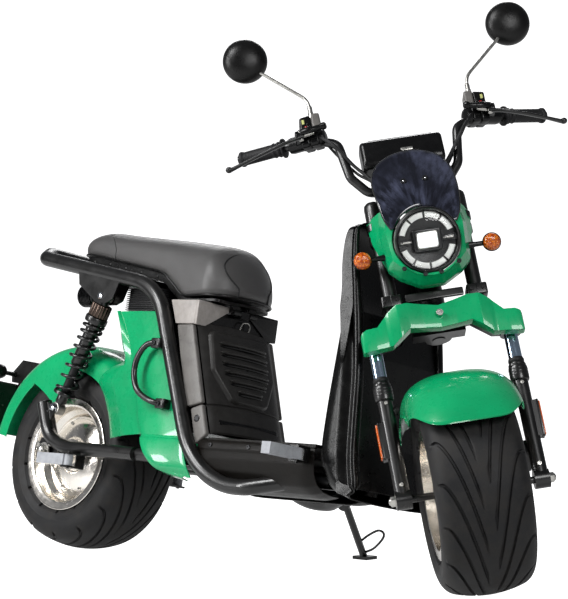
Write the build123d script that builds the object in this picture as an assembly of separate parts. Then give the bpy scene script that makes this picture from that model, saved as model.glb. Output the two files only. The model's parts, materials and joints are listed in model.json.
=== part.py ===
from build123d import *
import math
import os

os.makedirs("parts", exist_ok=True)

# A fat-tyred electric scooter, in millimetres. It is modelled upright with the
# rear axle at (0, 0, AXLE_HEIGHT), +X forward, +Y to the rider's left and +Z up.
# The last step turns the steering to its right stop, leans the machine on its
# side stand and puts the origin at the bottom centre of the bounding box.

# ---------------------------------------------------------------- driving sizes
WHEELBASE = 1306.0
TYRE_OD = 460.0
TYRE_WIDTH = 205.0
CROWN_RADIUS = 240.0        # tread arc across the tyre
SHOULDER_RADIUS = 40.0
TYRE_WALL = 12.0
BEAD_RADIUS = 127.0         # ten-inch rim seat
LIP_RADIUS = 142.0
LIP_OFFSET = 94.0           # outer face of the rim lip from the wheel's middle
RIM_WALL = 6.0
AXLE_RADIUS = 8.0
RUNNING_GAP = 0.06          # radial, in every bearing bore

RAKE = 22.9                 # steering axis back from vertical, degrees
FORK_OFFSET = 56.7          # wheel centre in front of the steering axis
STEER_STOP = 47.0           # each side of straight ahead, degrees
LEAN = 11.0                 # parked lean to the left, degrees

FRAME_TUBE_RADIUS = 19.0
FRAME_HALF = 150.0          # side tubes from the middle plane
RAIL_REAR = (-118.0, 725.0)  # grab rail's rear corner, (x, z)
RAIL_KNEE = (319.0, 653.0)
BELLY_KNEE = (536.2, 176.0)
SWINGARM_RADIUS = 16.0
SHOCK_Y = 145.0             # shock absorbers from the middle plane
SHOCK_BOLT = 6.0
SHOCK_TOP = (127.0, 626.0)
SHOCK_LOW = (6.0, TYRE_OD / 2 + 108.0)
GRAB_BACK = 36.0            # the grab loop's bar behind the rail's corner
GRAB_RISE = 20.0
SWINGARM_PIVOT = (395.0, 236.0)
PIVOT_RADIUS = 18.0
CROSS_RADIUS = 13.0
REAR_CROSS = (205.0, 672.0)   # cross tube behind the battery, (x, z)
CROSS_TUBES = ((*REAR_CROSS, FRAME_HALF), (505.0, 243.0, FRAME_HALF), (900.0, 214.0, 70.0))
TUB_LUG_HEIGHTS = (520.0, 345.0)

FORK_HALF = 153.0           # fork legs from the middle plane
STANCHION_RADIUS = 15.5
LEG_RADIUS = 17.0
CROWN_LOW = 350.0           # along the steering axis, from the axle's foot point
CROWN_HIGH = 395.0
HEAD_LOW = 415.0
HEAD_HIGH = 632.0
STEM_RADIUS = 15.0
BAR_RADIUS = 11.0

SEAT_HALF = 113.0
COLUMN_HALF = 130.0
TUB_HALF = 124.0
TUB_WALL = 6.0
PANEL_WALL = 6.0
FLOOR_TOP = 290.0
FLOOR_WALL = 8.0
BELLY_BOTTOM = 182.0
BELLY_HALF = 150.0
SHIELD_HALF = 150.0
PEG_LENGTH = 105.0
PEG_SIZE = 27.0
GAP = 0.5                   # between neighbouring pieces that only meet

AXLE_HEIGHT = TYRE_OD / 2

# ---------------------------------------------------------------- frames
COS_RAKE = math.cos(math.radians(RAKE))
SIN_RAKE = math.sin(math.radians(RAKE))
# Steering frame: its origin is where the steering axis passes the front axle,
# local X points forward square to the axis, local Z runs up the axis.
STEER_FOOT = (
    WHEELBASE - FORK_OFFSET * COS_RAKE,
    0.0,
    AXLE_HEIGHT - FORK_OFFSET * SIN_RAKE,
)
STEER_FRAME = Pos(*STEER_FOOT) * Rot(0, -RAKE, 0)
REAR_AXLE = Pos(0, 0, AXLE_HEIGHT)


# ---------------------------------------------------------------- helpers
def mirrored(shape):
    """The shape's copy on the other side of the middle plane."""
    return mirror(shape, about=Plane.XZ)


def pair(shape):
    """The shape and its mirror image, as two solids of one node."""
    return Compound(children=[*shape.solids(), *mirrored(shape).solids()])


def rod(start, end, radius):
    """A round bar between two points."""
    start, end = Vector(*start), Vector(*end)
    along = end - start
    plane = Plane(origin=start, z_dir=along)
    return extrude(plane * Circle(radius), amount=along.length)


def tube(points, radius, bends):
    """A round bar along straight runs joined by tangent arcs."""
    path = FilletPolyline(*points, radius=bends)
    section = Plane(origin=path @ 0, z_dir=path % 0) * Circle(radius)
    return sweep(section, path=path)


def plate(outline, low, high):
    """An (x, z) outline as thick as the span from y = low to y = high."""
    face = Plane.XZ.offset(-low) * make_face(Polyline(*outline, close=True))
    return extrude(face, amount=-(high - low))


def box_between(low, high):
    """A box from its two corners."""
    size = [b - a for a, b in zip(low, high)]
    return Pos(*low) * Box(*size, align=(Align.MIN, Align.MIN, Align.MIN))


def spun(outline):
    """An (y, radius) outline turned about the Y axis."""
    return revolve(Plane.YZ * make_face(outline), Axis.Y, 360)


def mirrored_outline(half):
    """Closes a half outline, given from y = 0 outwards and back, on both sides."""
    return Polyline(*half, *[(-y, r) for y, r in reversed(half[1:-1])], close=True)


# ---------------------------------------------------------------- wheels
SHOULDER_Y = TYRE_WIDTH / 2 - SHOULDER_RADIUS
CROWN_CENTRE = AXLE_HEIGHT - CROWN_RADIUS
SHOULDER_TILT = math.asin(SHOULDER_Y / (CROWN_RADIUS - SHOULDER_RADIUS))
SHOULDER_CENTRE = CROWN_CENTRE + (CROWN_RADIUS - SHOULDER_RADIUS) * math.cos(SHOULDER_TILT)
BEAD_HEEL = LIP_OFFSET - RIM_WALL - GAP


def tyre_side(inset):
    """Half of the tyre's section from the middle out to its widest point."""
    crown, shoulder = CROWN_RADIUS - inset, SHOULDER_RADIUS - inset
    half_tilt = SHOULDER_TILT / 2
    mid_tilt = (SHOULDER_TILT + math.pi / 2) / 2
    top = (0, CROWN_CENTRE + crown)
    over = (crown * math.sin(half_tilt), CROWN_CENTRE + crown * math.cos(half_tilt))
    edge = (crown * math.sin(SHOULDER_TILT), CROWN_CENTRE + crown * math.cos(SHOULDER_TILT))
    turn = (
        SHOULDER_Y + shoulder * math.sin(mid_tilt),
        SHOULDER_CENTRE + shoulder * math.cos(mid_tilt),
    )
    wide = (SHOULDER_Y + shoulder, SHOULDER_CENTRE)
    return [ThreePointArc(top, over, edge), ThreePointArc(edge, turn, wide)], wide


def tyre():
    """A tubeless tyre: an even carcass from one bead to the other."""
    outside, wide = tyre_side(0)
    inside, narrow = tyre_side(TYRE_WALL)
    bead_low = BEAD_RADIUS + GAP
    heel_top = (BEAD_HEEL, LIP_RADIUS + GAP)
    half = [
        *outside,
        ThreePointArc(wide, (wide[0] - 3, (wide[1] + heel_top[1]) / 2), heel_top),
        Polyline(
            heel_top,
            (BEAD_HEEL, bead_low),
            (BEAD_HEEL - TYRE_WALL * 1.4, bead_low),
            (BEAD_HEEL - TYRE_WALL, LIP_RADIUS),
            narrow,
        ),
        *inside,
        Line((0, AXLE_HEIGHT - TYRE_WALL), (0, AXLE_HEIGHT)),
    ]
    side = spun(half)
    return side + mirrored(side)


def rim_shell():
    """A rim barrel with a dropped middle and a rolled lip each side."""
    drop = BEAD_RADIUS - 17.0
    wall = RIM_WALL
    half = [
        (0, drop),
        (42, drop),
        (58, BEAD_RADIUS),
        (LIP_OFFSET - wall, BEAD_RADIUS),
        (LIP_OFFSET - wall, LIP_RADIUS),
        (LIP_OFFSET, LIP_RADIUS),
        (LIP_OFFSET, BEAD_RADIUS - wall),
        (58 + wall / 2, BEAD_RADIUS - wall),
        (42 + wall / 2, drop - wall),
        (0, drop - wall),
    ]
    return spun(mirrored_outline(half[:]))


def hub(half):
    """A turned hub from a (y, radius) half outline, bored for the axle."""
    bore = AXLE_RADIUS + RUNNING_GAP
    outer = [(0, half[0][1]), *half, (half[-1][0], bore), (0, bore)]
    return spun(mirrored_outline(outer))


MOTOR_RADIUS = 104.4
REAR_HUB_HALF = 92.0
FRONT_HUB_HALF = 84.0
DISC_THICK = 4.0
FRONT_DISC = 82.0
REAR_DISC = 84.0


def rear_rim():
    """Rim cast in one with the motor's shell, its covers stepped at each side."""
    motor = hub([(56, MOTOR_RADIUS), (56, 98), (64, 92), (66, 52), (80, 46), (REAR_HUB_HALF, 24)])
    return rim_shell() + motor + brake_disc(REAR_HUB_HALF, REAR_DISC, 46)


def front_rim():
    """Rim, a thin web near the middle and a drum-shaped hub."""
    drum = hub([(40, 44), (60, 40), (FRONT_HUB_HALF, 24)])
    web = spun(mirrored_outline([(0, 40), (0, 105), (9, 105), (9, 40)]))
    for step in range(5):
        web -= Rot(0, step * 72, 0) * Pos(0, 0, 74) * Rot(90, 0, 0) * Cylinder(21, 40)
    return rim_shell() + drum + web + brake_disc(FRONT_HUB_HALF, FRONT_DISC, 24)


def brake_disc(y_face, radius, hub_radius):
    """A drilled brake disc on the left of a hub, its holes staggered in two rings."""
    disc = rod((0, y_face - 1, 0), (0, y_face + DISC_THICK, 0), radius)
    disc -= rod((0, y_face - 2, 0), (0, y_face + 10, 0), AXLE_RADIUS + RUNNING_GAP)
    for step in range(12):
        across = radius - (10 if step % 2 else 20)
        disc -= Rot(0, step * 30, 0) * Pos(0, y_face, across) * Rot(90, 0, 0) * Cylinder(4, 30)
    window = (radius + hub_radius) / 2 - 8
    for step in range(6):
        disc -= Rot(0, step * 60, 0) * Pos(0, y_face, window) * Rot(90, 0, 0) * Cylinder(9, 30)
    return disc


def caliper(y_face, radius, outer_y, angle):
    """A caliper over the disc's rim and the bracket that carries it, turned about the axle."""
    body = box_between((-30, y_face - 16, radius - 26), (30, outer_y, radius + 12))
    slot = box_between((-40, y_face - 2.5, radius - 40), (40, y_face + DISC_THICK + 2.5, radius + 4))
    return Rot(0, angle, 0) * (body - slot)


# ---------------------------------------------------------------- assembly table
bike_pieces = {}      # node -> shape in the upright bike frame
steer_pieces = {}     # node -> shape in the steering frame
front_wheel_pieces = {}   # node -> shape centred on the front axle, in the bike frame


# ---------------------------------------------------------------- frame
def side_frame(radius=FRAME_TUBE_RADIUS):
    """Half of the grab loop, the rail, the down tube and the belly tube."""
    y = -FRAME_HALF
    x, z = RAIL_REAR
    points = [
        (x - GRAB_BACK, 0, z + GRAB_RISE),
        (x - GRAB_BACK, y + 44, z + GRAB_RISE),
        (x, y, z),
        (RAIL_KNEE[0], y, RAIL_KNEE[1]),
        (BELLY_KNEE[0], y, BELLY_KNEE[1]),
        (706, y + 4, BELLY_KNEE[1] + 2),
        (838, -84, 214),
        (953, -4, 214),
    ]
    return tube(points, radius, [26, 26, 150, 215, 60, 60])


def tube_centre(z):
    """Where the straight down tube's middle line is at a height."""
    (x1, z1), (x2, z2) = RAIL_KNEE, BELLY_KNEE
    return x1 + (x2 - x1) * (z - z1) / (z2 - z1)


def shock_plates():
    """Plates under the rail, each side of a shock's upper eye, and their bolt."""
    x, z = SHOCK_TOP
    outline = [(31, 690), (190, 664), (172, 618), (150, 608), (x - 15, z - 19), (x - 31, z - 6), (40, 655)]
    outer = plate(outline, -SHOCK_Y - 19, -SHOCK_Y - 15)
    inner = plate(outline, -SHOCK_Y + 15, -SHOCK_Y + 19)
    return outer + inner + rod((x, -SHOCK_Y - 24, z), (x, -SHOCK_Y + 24, z), SHOCK_BOLT)


def pivot_plate():
    """Plate between the lower cross tube and the swingarm's pivot."""
    outline = [(378, 216), (378, 256), (500, 262), (520, 243), (505, 224)]
    x, z = SWINGARM_PIVOT
    return plate(outline, -118, -112) - rod((x, -200, z), (x, 0, z), PIVOT_RADIUS)


def main_frame():
    """Side tubes with the grab loop, cross tubes, brackets, down tube and head tube."""
    side = side_frame() + shock_plates() + pivot_plate()
    for z in TUB_LUG_HEIGHTS:
        side += rod((tube_centre(z), -FRAME_HALF + 8, z), (tube_centre(z), -TUB_HALF, z), 9)
    side += rod((830, -84, 214), (830, -84, FLOOR_TOP - FLOOR_WALL), 8)
    frame = side + mirrored(side)
    for x, z, reach in CROSS_TUBES:
        frame += rod((x, -reach, z), (x, reach, z), CROSS_RADIUS)
    frame += down_tube() + (rod((960, 0, 420), (908, 0, 420), 10) - leg_shield())
    base = (Align.CENTER, Align.CENTER, Align.MIN)
    head = Pos(0, 0, HEAD_LOW) * Cylinder(30, HEAD_HIGH - HEAD_LOW, align=base)
    bore_length = HEAD_HIGH - HEAD_LOW + 40
    bore = Pos(0, 0, HEAD_LOW - 20) * Cylinder(STEM_RADIUS + RUNNING_GAP, bore_length, align=base)
    return frame + STEER_FRAME * head - STEER_FRAME * bore + stand_bracket()


def down_tube(radius=22.0):
    """The single tube from the belly tubes up to the head tube."""
    head_mid = tuple((STEER_FRAME * Pos(0, 0, HEAD_LOW + 70)).position)
    return tube([(953, 0, 192), (964, 0, 560), head_mid], radius, [60])


SWINGARM_Y = 150.0
FENDER_HALF = 117.0
REAR_FENDER_RADIUS = 286.0
FENDER_TAB_FACE = 121.0
AXLE_LUG_FACE = 154.0       # outer face of the axle plates
REAR_AXLE_HALF = 172.0


def swingarm():
    """Two bent arms with axle plates, joined by the pivot tube."""
    y = -SWINGARM_Y
    pivot_x, pivot_z = SWINGARM_PIVOT
    axle_z = AXLE_HEIGHT
    arm = tube(
        [(pivot_x, y, pivot_z), (70, y, axle_z + 10), (6, y, axle_z + 32), (-36, y, axle_z + 122)],
        SWINGARM_RADIUS,
        [60, 45],
    )
    lug = plate([(-30, 32), (34, 32), (40, 6), (22, -24), (-22, -24), (-40, 6)], -AXLE_LUG_FACE, y + 6)
    ear = [(-40, 88), (-20, 122), (16, 116), (12, 92), (0, 70), (-30, 60)]
    eye = plate(ear, -SHOCK_Y - 19, -SHOCK_Y - 15)
    eye += rod((-35, y, 115), (-35, -FENDER_TAB_FACE, 115), 9)
    x, z = SHOCK_LOW
    arm += REAR_AXLE * (lug + eye) + rod((x, -SHOCK_Y - 19, z), (x, -SHOCK_Y + 17, z), SHOCK_BOLT)
    pivot = rod((pivot_x, -SWINGARM_Y, pivot_z), (pivot_x, SWINGARM_Y, pivot_z), PIVOT_RADIUS)
    axle = rod((0, -REAR_AXLE_HALF, axle_z), (0, REAR_AXLE_HALF, axle_z), AXLE_RADIUS)
    rear_caliper = REAR_AXLE * caliper(REAR_HUB_HALF, REAR_DISC, SWINGARM_Y - 10, 80)
    return arm + mirrored(arm) + pivot + axle + rear_caliper


bike_pieces["swingarm"] = swingarm()


def rear_shocks():
    """Coil-over units: a body above, the spring's outer shape below."""
    top = Vector(SHOCK_TOP[0], -SHOCK_Y, SHOCK_TOP[1])
    low = Vector(SHOCK_LOW[0], -SHOCK_Y, SHOCK_LOW[1])
    along = (low - top).normalized()
    reach = (low - top).length

    def at(distance):
        return tuple(top + along * distance)

    unit = rod(at(30), at(120), 23.5) + rod(at(118), at(reach - 42.4), 22.5)
    unit += rod(at(reach - 44.4), at(reach - 14.4), 12)
    unit += rod(at(0), at(32), 12)
    for eye in (top, low):
        x, y, z = eye
        unit += rod((x, y - 13, z), (x, y + 13, z), 15)
        unit -= rod((x, y - 30, z), (x, y + 30, z), SHOCK_BOLT)
    return pair(unit)


bike_pieces["rear_shocks"] = rear_shocks()


# ---------------------------------------------------------------- rear bodywork
def arch(radius, half, side_radius, wall, start, end, shoulder):
    """A mudguard: a rounded channel turned about the axle from start to end.

    Angles are in degrees above the forward horizontal.
    """
    outer = [
        (0, radius),
        (half - shoulder, radius - 4),
        (half - shoulder * 0.3, radius - shoulder * 0.32),
        (half, radius - shoulder),
        (half, side_radius),
    ]
    inner = [
        (half - wall, side_radius),
        (half - wall, radius - shoulder),
        (half - shoulder * 0.3 - wall * 0.7, radius - shoulder * 0.32 - wall * 0.7),
        (half - shoulder, radius - 4 - wall),
        (0, radius - wall),
    ]
    section = Plane.YZ * make_face(mirrored_outline(outer + inner))
    swept = revolve(section, Axis.Y, end - start)
    return Rot(0, 90 - end, 0) * swept


def fender_tab():
    """The fender's side tongue that is bolted to the swingarm's upturned end."""
    outline = [(-129, 173), (-60, 210), (22, 218), (-14, 126), (-30, 108), (-46, 118), (-100, 155)]
    return REAR_AXLE * plate(outline, -FENDER_TAB_FACE, -FENDER_HALF)


bike_pieces["rear_fender"] = (
    REAR_AXLE * arch(REAR_FENDER_RADIUS, FENDER_HALF, 208, 4, 52, 172, 50)
    + fender_tab()
    + mirrored(fender_tab())
)


def side_panels():
    """Green covers under the seat, from the frame tube back to the wheel arch."""
    outline = [(187, 588), (330, 574), (372, 480), (424, 372), (480, 262), (512, 214), (426, 200), (330, 226),
               (206, 270), (195, 319), (160, 381), (127, 413), (226, 483)]
    panel = plate(outline, -138, -131.5)
    for x, z in ((345, 530), (352, 345)):
        panel += rod((x, -131.5, z), (x, -TUB_HALF, z), 6)
    arm_way = box_between((150, -170, 210), (SWINGARM_PIVOT[0] + 40, -120, 262))
    cross = rod((CROSS_TUBES[1][0], -200, CROSS_TUBES[1][1]), (CROSS_TUBES[1][0], 0, CROSS_TUBES[1][1]), 14.5)
    return pair(panel - side_frame(FRAME_TUBE_RADIUS + 2) - arm_way - cross)


bike_pieces["side_panels"] = side_panels()


TUB_FRONT_LOW = (546.0, FLOOR_TOP + 10.0)
TUB_FRONT_HIGH = (448.0, 568.0)
TUB_FRONT_TOP = 452.0
TUB_TOP = 606.0


def battery_tub():
    """Tub under the seat that holds the battery, open at the top."""
    wall = TUB_WALL
    (low_x, low_z), (high_x, high_z) = TUB_FRONT_LOW, TUB_FRONT_HIGH
    outline = [(306, TUB_TOP), (TUB_FRONT_TOP, TUB_TOP), (high_x - 0.3, high_z), (low_x - 0.3, low_z),
               (330, low_z), (316, 420)]
    inner = [(306 + wall, TUB_TOP + 14), (TUB_FRONT_TOP - wall, TUB_TOP + 14), (high_x - wall, high_z),
             (low_x - wall * 1.3, low_z + wall), (330 + wall, low_z + wall), (316 + wall, 420)]
    tub = plate(outline, -TUB_HALF, TUB_HALF)
    return tub - plate(inner, -TUB_HALF + wall, TUB_HALF - wall) + seat_hinge()


def column_front():
    """The bowed, louvred panel that faces forward below the seat's nose."""
    low = Vector(TUB_FRONT_LOW[0], 0, TUB_FRONT_LOW[1])
    high = Vector(TUB_FRONT_HIGH[0], 0, TUB_FRONT_HIGH[1])
    slope = (high - low).normalized()
    plane = Plane(origin=low, x_dir=(0, 1, 0), z_dir=slope)
    edge, bow = 5.0, 15.0
    half = COLUMN_HALF - 2
    face = make_face(
        [
            Line((-half, 0), (half, 0)),
            Line((half, 0), (half, -edge)),
            ThreePointArc((half, -edge), (0, -edge - bow), (-half, -edge)),
            Line((-half, -edge), (-half, 0)),
        ]
    )
    return extrude(plane * face, amount=(high - low).length)




def battery():
    """The battery as one block that leans with the tub's front wall."""
    (low_x, low_z), (high_x, high_z) = TUB_FRONT_LOW, TUB_FRONT_HIGH
    top, bottom = high_z - 12, low_z + 6
    return plate([(334, top), (high_x - 24, top), (low_x - 34, bottom), (346, bottom)], -92, 92)


bike_pieces["battery"] = battery()
bike_pieces["column_front_panel"] = column_front()
bike_pieces["column_side_covers"] = pair(
    plate(
        [(389, 558), (448, 558), (546, FLOOR_TOP + 6), (510, FLOOR_TOP + 6)],
        -COLUMN_HALF - 12,
        -TUB_HALF - 4.3,
    )
    + plate(
        [(370, 606), (459, 606), (455, 596), (424, 558), (389, 558)],
        -COLUMN_HALF - 12,
        -TUB_HALF - 4.3,
    )
    + plate([(400, 550), (430, 550), (430, 520), (412, 520)], -TUB_HALF - 5, -TUB_HALF)
)


def cross_bore(half):
    """The rear cross tube's outside, cut out of what hangs on it."""
    x, z = REAR_CROSS
    return rod((x, -half, z), (x, half, z), CROSS_RADIUS)


def controller():
    """Motor controller hung from the rear cross tube on two straps."""
    x, z = REAR_CROSS
    body = box_between((216, -124, 596), (300, 124, 640))
    return body + rod((226, -60, 638), (x, -60, z), 7) + rod((226, 60, 638), (x, 60, z), 7) - cross_bore(100)


bike_pieces["controller"] = controller()


PLATE_HOLE_SPACING = 120.0
PLATE_HOLE_RADIUS = 3.0
PLATE_CENTRE = Vector(-318, 0, AXLE_HEIGHT + 120)
PLATE_THICK = 3.0
PLATE_TILT = 12.0           # the board's lean, its top forward
PLATE_FRAME = Pos(*PLATE_CENTRE) * Rot(0, PLATE_TILT, 0)


def tail_bracket():
    """Arm on the fender's back that carries the number plate board."""
    outline = [(-206, 199.5), (-232, 168.5), (-300, 195), (-306, 184), (-334, 186), (-338, 210), (-300, 246),
               (-240, 240)]
    arm = plate(outline, -26, 26) - Rot(90, 0, 0) * Cylinder(REAR_FENDER_RADIUS + GAP, 80)
    neck = plate([(-306.5, 166), (-290, 166), (-290, 196), (-299, 196), (-306.5, 181)], -26, 26)
    board = PLATE_FRAME * Box(PLATE_THICK, 200, 120)
    for y in (-PLATE_HOLE_SPACING / 2, PLATE_HOLE_SPACING / 2):
        board -= PLATE_FRAME * Pos(0, y, 0) * Rot(0, 90, 0) * Cylinder(PLATE_HOLE_RADIUS, 20)
    return REAR_AXLE * (arm + neck) + board


def rear_signals():
    """Round turn signals on stems at each side of the tail bracket."""
    z = AXLE_HEIGHT + 206
    stem = rod((-322, -26.3, z), (-322, -72, z), 6)
    lamp = Pos(-324, -84, z) * Rot(0, 90, 0) * Cylinder(20, 34)
    return pair(stem + lamp)


bike_pieces["tail_bracket"] = tail_bracket()
bike_pieces["rear_signals"] = rear_signals()
tail_lamp = Pos(-92, 0, 655) * Rot(0, 90, 0) * Cylinder(30, 50)
tail_lamp += box_between((-86, -14, 675), (REAR_CROSS[0], 14, 683))
bike_pieces["tail_lamp"] = tail_lamp - cross_bore(60)


def side_handles():
    """D-shaped handles beside the frame tubes."""
    loop = tube(
        [(352, -138.5, 512), (340, -174, 512), (284, -178, 462), (304, -178, 396), (396, -174, 358),
         (410, -138.5, 360)],
        7.5,
        [14, 30, 30, 14],
    )
    inside = box_between((200, -138.2, 300), (500, -100, 600))
    return pair(loop - inside - side_frame(FRAME_TUBE_RADIUS + 1))


bike_pieces["side_handles"] = side_handles()


# ---------------------------------------------------------------- seat
SEAT_UNDER = [(508, 632), (372, 632), (344, 650), (310, 676), (271, 696), (101, 726), (32, 738), (-62, 746)]
SEAT_SKIN = 0.3             # between the cushion and the pan it lies on
SEAT_REAR = -62.0
SEAT_NOSE = 508.0


def seat_plan(inset):
    """The seat seen from above as an upright prism: straight sides, rounded tail, long rounded nose."""
    half = SEAT_HALF - inset
    tail_x, nose_x = 15.0, 430.0
    tail, nose = tail_x - SEAT_REAR - inset, SEAT_NOSE - nose_x - inset
    share = math.sqrt(0.5)
    face = make_face(
        [
            Line((tail_x, half), (nose_x, half)),
            Spline((nose_x, half), (nose_x + nose * share, half * share), (nose_x + nose, 0),
                   (nose_x + nose * share, -half * share), (nose_x, -half), tangents=((1, 0), (-1, 0))),
            Line((nose_x, -half), (tail_x, -half)),
            Spline((tail_x, -half), (tail_x - tail * share, -half * share), (tail_x - tail, 0),
                   (tail_x - tail * share, half * share), (tail_x, half), tangents=((-1, 0), (1, 0))),
        ]
    )
    return Pos(0, 0, 500) * extrude(face, amount=400)


def seat_cushion():
    """One-piece stepped cushion, its underside following the rail."""
    top = [(-62, 775), (-50, 796), (-20, 810), (40, 811), (101, 803), (287, 787), (342, 781), (400, 774),
           (443, 765), (480, 735), (503, 690), (508, 650)]
    return plate(top + SEAT_UNDER, -SEAT_HALF, SEAT_HALF) & seat_plan(0)


def seat_pan():
    """Moulded pan under the cushion."""
    upper = [(x, z - SEAT_SKIN) for x, z in SEAT_UNDER]
    lower = [(x, z - SEAT_SKIN - 6) for x, z in reversed(SEAT_UNDER)]
    return plate(upper + lower, -SEAT_HALF, SEAT_HALF) & seat_plan(8)


SEAT_HINGE = (476.0, 0.0, 610.0)
SEAT_OPEN = 65.0
SEAT_PIN = 4.0


def seat_hinge():
    """Lug on the tub's front wall with a cross pin under the seat's nose."""
    x, y, z = SEAT_HINGE
    lug = box_between((TUB_FRONT_TOP - TUB_WALL, -14, z - 12), (x + 6, 14, z + 5))
    return rod((x, -42, z), (x, 42, z), SEAT_PIN) + lug


def seat_knuckles():
    """Sleeves under the seat pan that turn on the hinge pin."""
    x, y, z = SEAT_HINGE
    sleeves = rod((x, 16, z), (x, 40, z), 8) + box_between((x - 12, 16, z - 2), (x, 40, SEAT_UNDER[0][1] - 3))
    sleeves -= rod((x, 0, z), (x, 60, z), SEAT_PIN + RUNNING_GAP)
    return sleeves + mirrored(sleeves)


bike_pieces["battery_tub"] = battery_tub()
bike_pieces["seat_cushion"] = seat_cushion()
bike_pieces["seat_base"] = seat_pan() + seat_knuckles()

# ---------------------------------------------------------------- floor and shield
def belly_covers():
    """Rounded covers under the floor, one each side."""
    wall = PANEL_WALL
    half, bottom, inner_edge = BELLY_HALF, BELLY_BOTTOM, 40.0
    outer = [(-half + 8, FLOOR_TOP - 8), (-half, 262), (-half + 4, 232), (-half + 24, 200),
             (-half + 60, bottom), (-inner_edge, bottom)]
    inner = [(-inner_edge, bottom + wall), (-half + 62, bottom + wall), (-half + 29, 204), (-half + 10, 235),
             (-half + wall, 262), (-half + 8 + wall, FLOOR_TOP - 8)]
    face = Plane.YZ.offset(520) * make_face(Polyline(*outer, *inner, close=True))
    cover = extrude(face, amount=380)
    return pair(cover - side_frame(FRAME_TUBE_RADIUS + 3))


bike_pieces["belly_covers"] = belly_covers()
bike_pieces["floor_board"] = box_between(
    (556, -BELLY_HALF + 8, FLOOR_TOP - FLOOR_WALL), (903, BELLY_HALF - 8, FLOOR_TOP)
)


SHIELD_BACK = [(1020, 172), (955, 189), (921, 228), (903, 276), (903, 366), (908, 458), (918, 574), (925, 643),
               (907, 724), (914, 764), (928, 786)]
SHIELD_FRONT = [(936, 780), (958, 700), (985, 600), (1010, 500), (1018, 400), (1026, 300), (1046, 196)]


def leg_shield():
    """A tray open to the front: the panel before the legs and its side walls."""
    solid = plate([*SHIELD_BACK, *SHIELD_FRONT], -SHIELD_HALF, SHIELD_HALF)
    inner_back = [(x + 9, z + (12 if z < 200 else 0)) for x, z in SHIELD_BACK[:-1]]
    hollow = plate([*inner_back, (925, 774), (1200, 774), (1200, 184)], -SHIELD_HALF + 22, SHIELD_HALF - 22)
    tubes = side_frame(FRAME_TUBE_RADIUS + 3)
    return solid - hollow - tubes - mirrored(tubes) - down_tube(25)


def shield_cover():
    """Inner cover that closes the lower part of the shield's front."""
    outline = [(974, 600), (999, 500), (1007, 400), (1015, 300), (1034, 198), (1028, 196), (1009, 300),
               (1001, 400), (993, 500), (968, 600)]
    return plate(outline, -SHIELD_HALF + 22.5, SHIELD_HALF - 22.5)


bike_pieces["leg_shield"] = leg_shield()
bike_pieces["shield_cover"] = shield_cover() - down_tube(25)


# ---------------------------------------------------------------- pegs, handles, stand
def peg(hinge, outward):
    """A folding peg: its root rolls on the hinge pin."""
    x, y, z = hinge
    half = PEG_SIZE / 2
    if outward:
        arm = box_between((x - half, y - PEG_LENGTH, z - half), (x + half, y - 6, z + half))
    else:
        arm = box_between((x - PEG_LENGTH, y - half, z - half), (x - 6, y + half, z + half))
    barrel = Pos(x, y, z) * Cylinder(11, PEG_SIZE)
    return arm + barrel - Pos(x, y, z) * Cylinder(4 + RUNNING_GAP, 60)


FRONT_PEG_HINGE = (884.0, -178.0, 262.0)
REAR_PEG_HINGE = (128.0, -192.0, AXLE_HEIGHT - 23.0)


def peg_bracket(hinge, root_y, top=0.0):
    """A fork of two ears and a pin, on an arm from the frame."""
    x, y, z = hinge
    ear_gap = PEG_SIZE / 2 + 0.5
    ears = box_between((x - 13, y - 13, z + ear_gap), (x + 13, root_y, z + ear_gap + 5))
    ears += box_between((x - 13, y - 13, z - ear_gap - 5), (x + 13, root_y, z - ear_gap))
    back = box_between((x - 13, root_y - 8, z - ear_gap), (x + 13, root_y, max(z + ear_gap, top)))
    pin = Pos(x, y, z) * Cylinder(4, PEG_SIZE + 16)
    return ears + back + pin


bike_pieces["front_peg_right"] = peg(FRONT_PEG_HINGE, True)
bike_pieces["front_peg_left"] = mirrored(bike_pieces["front_peg_right"])
bike_pieces["rear_peg_right"] = peg(REAR_PEG_HINGE, False)
bike_pieces["rear_peg_left"] = mirrored(bike_pieces["rear_peg_right"])
bike_pieces["peg_brackets"] = Compound(
    children=[
        *pair(peg_bracket(FRONT_PEG_HINGE, -BELLY_HALF - 0.5)).solids(),
        *pair(peg_bracket(REAR_PEG_HINGE, -SWINGARM_Y, AXLE_HEIGHT + 2) - swingarm()).solids(),
    ]
)

# ---------------------------------------------------------------- side stand
STAND_LIFT = 8.0            # the stand's pivot above the belly tube's middle line
STAND_PIVOT = Vector(728, FRAME_HALF + 26, BELLY_KNEE[1] + STAND_LIFT)
STAND_FOOT_Y = FRAME_HALF + 195.0
STAND_FOOT_X = 664.0
STAND_RADIUS = 9.0
STAND_PIN = 5.0
STAND_FOLDED = (-1.0, 0.12, 0.12)   # the leg's direction when folded back


# ---------------------------------------------------------------- front end
AXLE_O = FORK_OFFSET


def crown_outline(inset):
    """Front view of the fork crown, (y, a), narrower by inset."""
    top = [(0, 430), (68, 444), (95, 442), (115, 428), (143, 397), (168, 395), (182, 387)]
    low = [(182, 340), (113, 348), (70, 382), (0, 376)]
    right = [(y, a - inset) for y, a in top[1:]] + [(y, a + inset) for y, a in low[:-1]]
    right = [(min(y, 182 - inset), a) for y, a in right]
    left = [(-y, a) for y, a in reversed(right)]
    return [(0, top[0][1] - inset), *right, (0, low[-1][1] + inset), *left]


def steer_plate(outline, low, high):
    """A (y, a) outline in the steering frame between two offsets."""
    face = Plane.YZ.offset(low) * make_face(Polyline(*outline, close=True))
    return extrude(face, amount=high - low)


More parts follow.
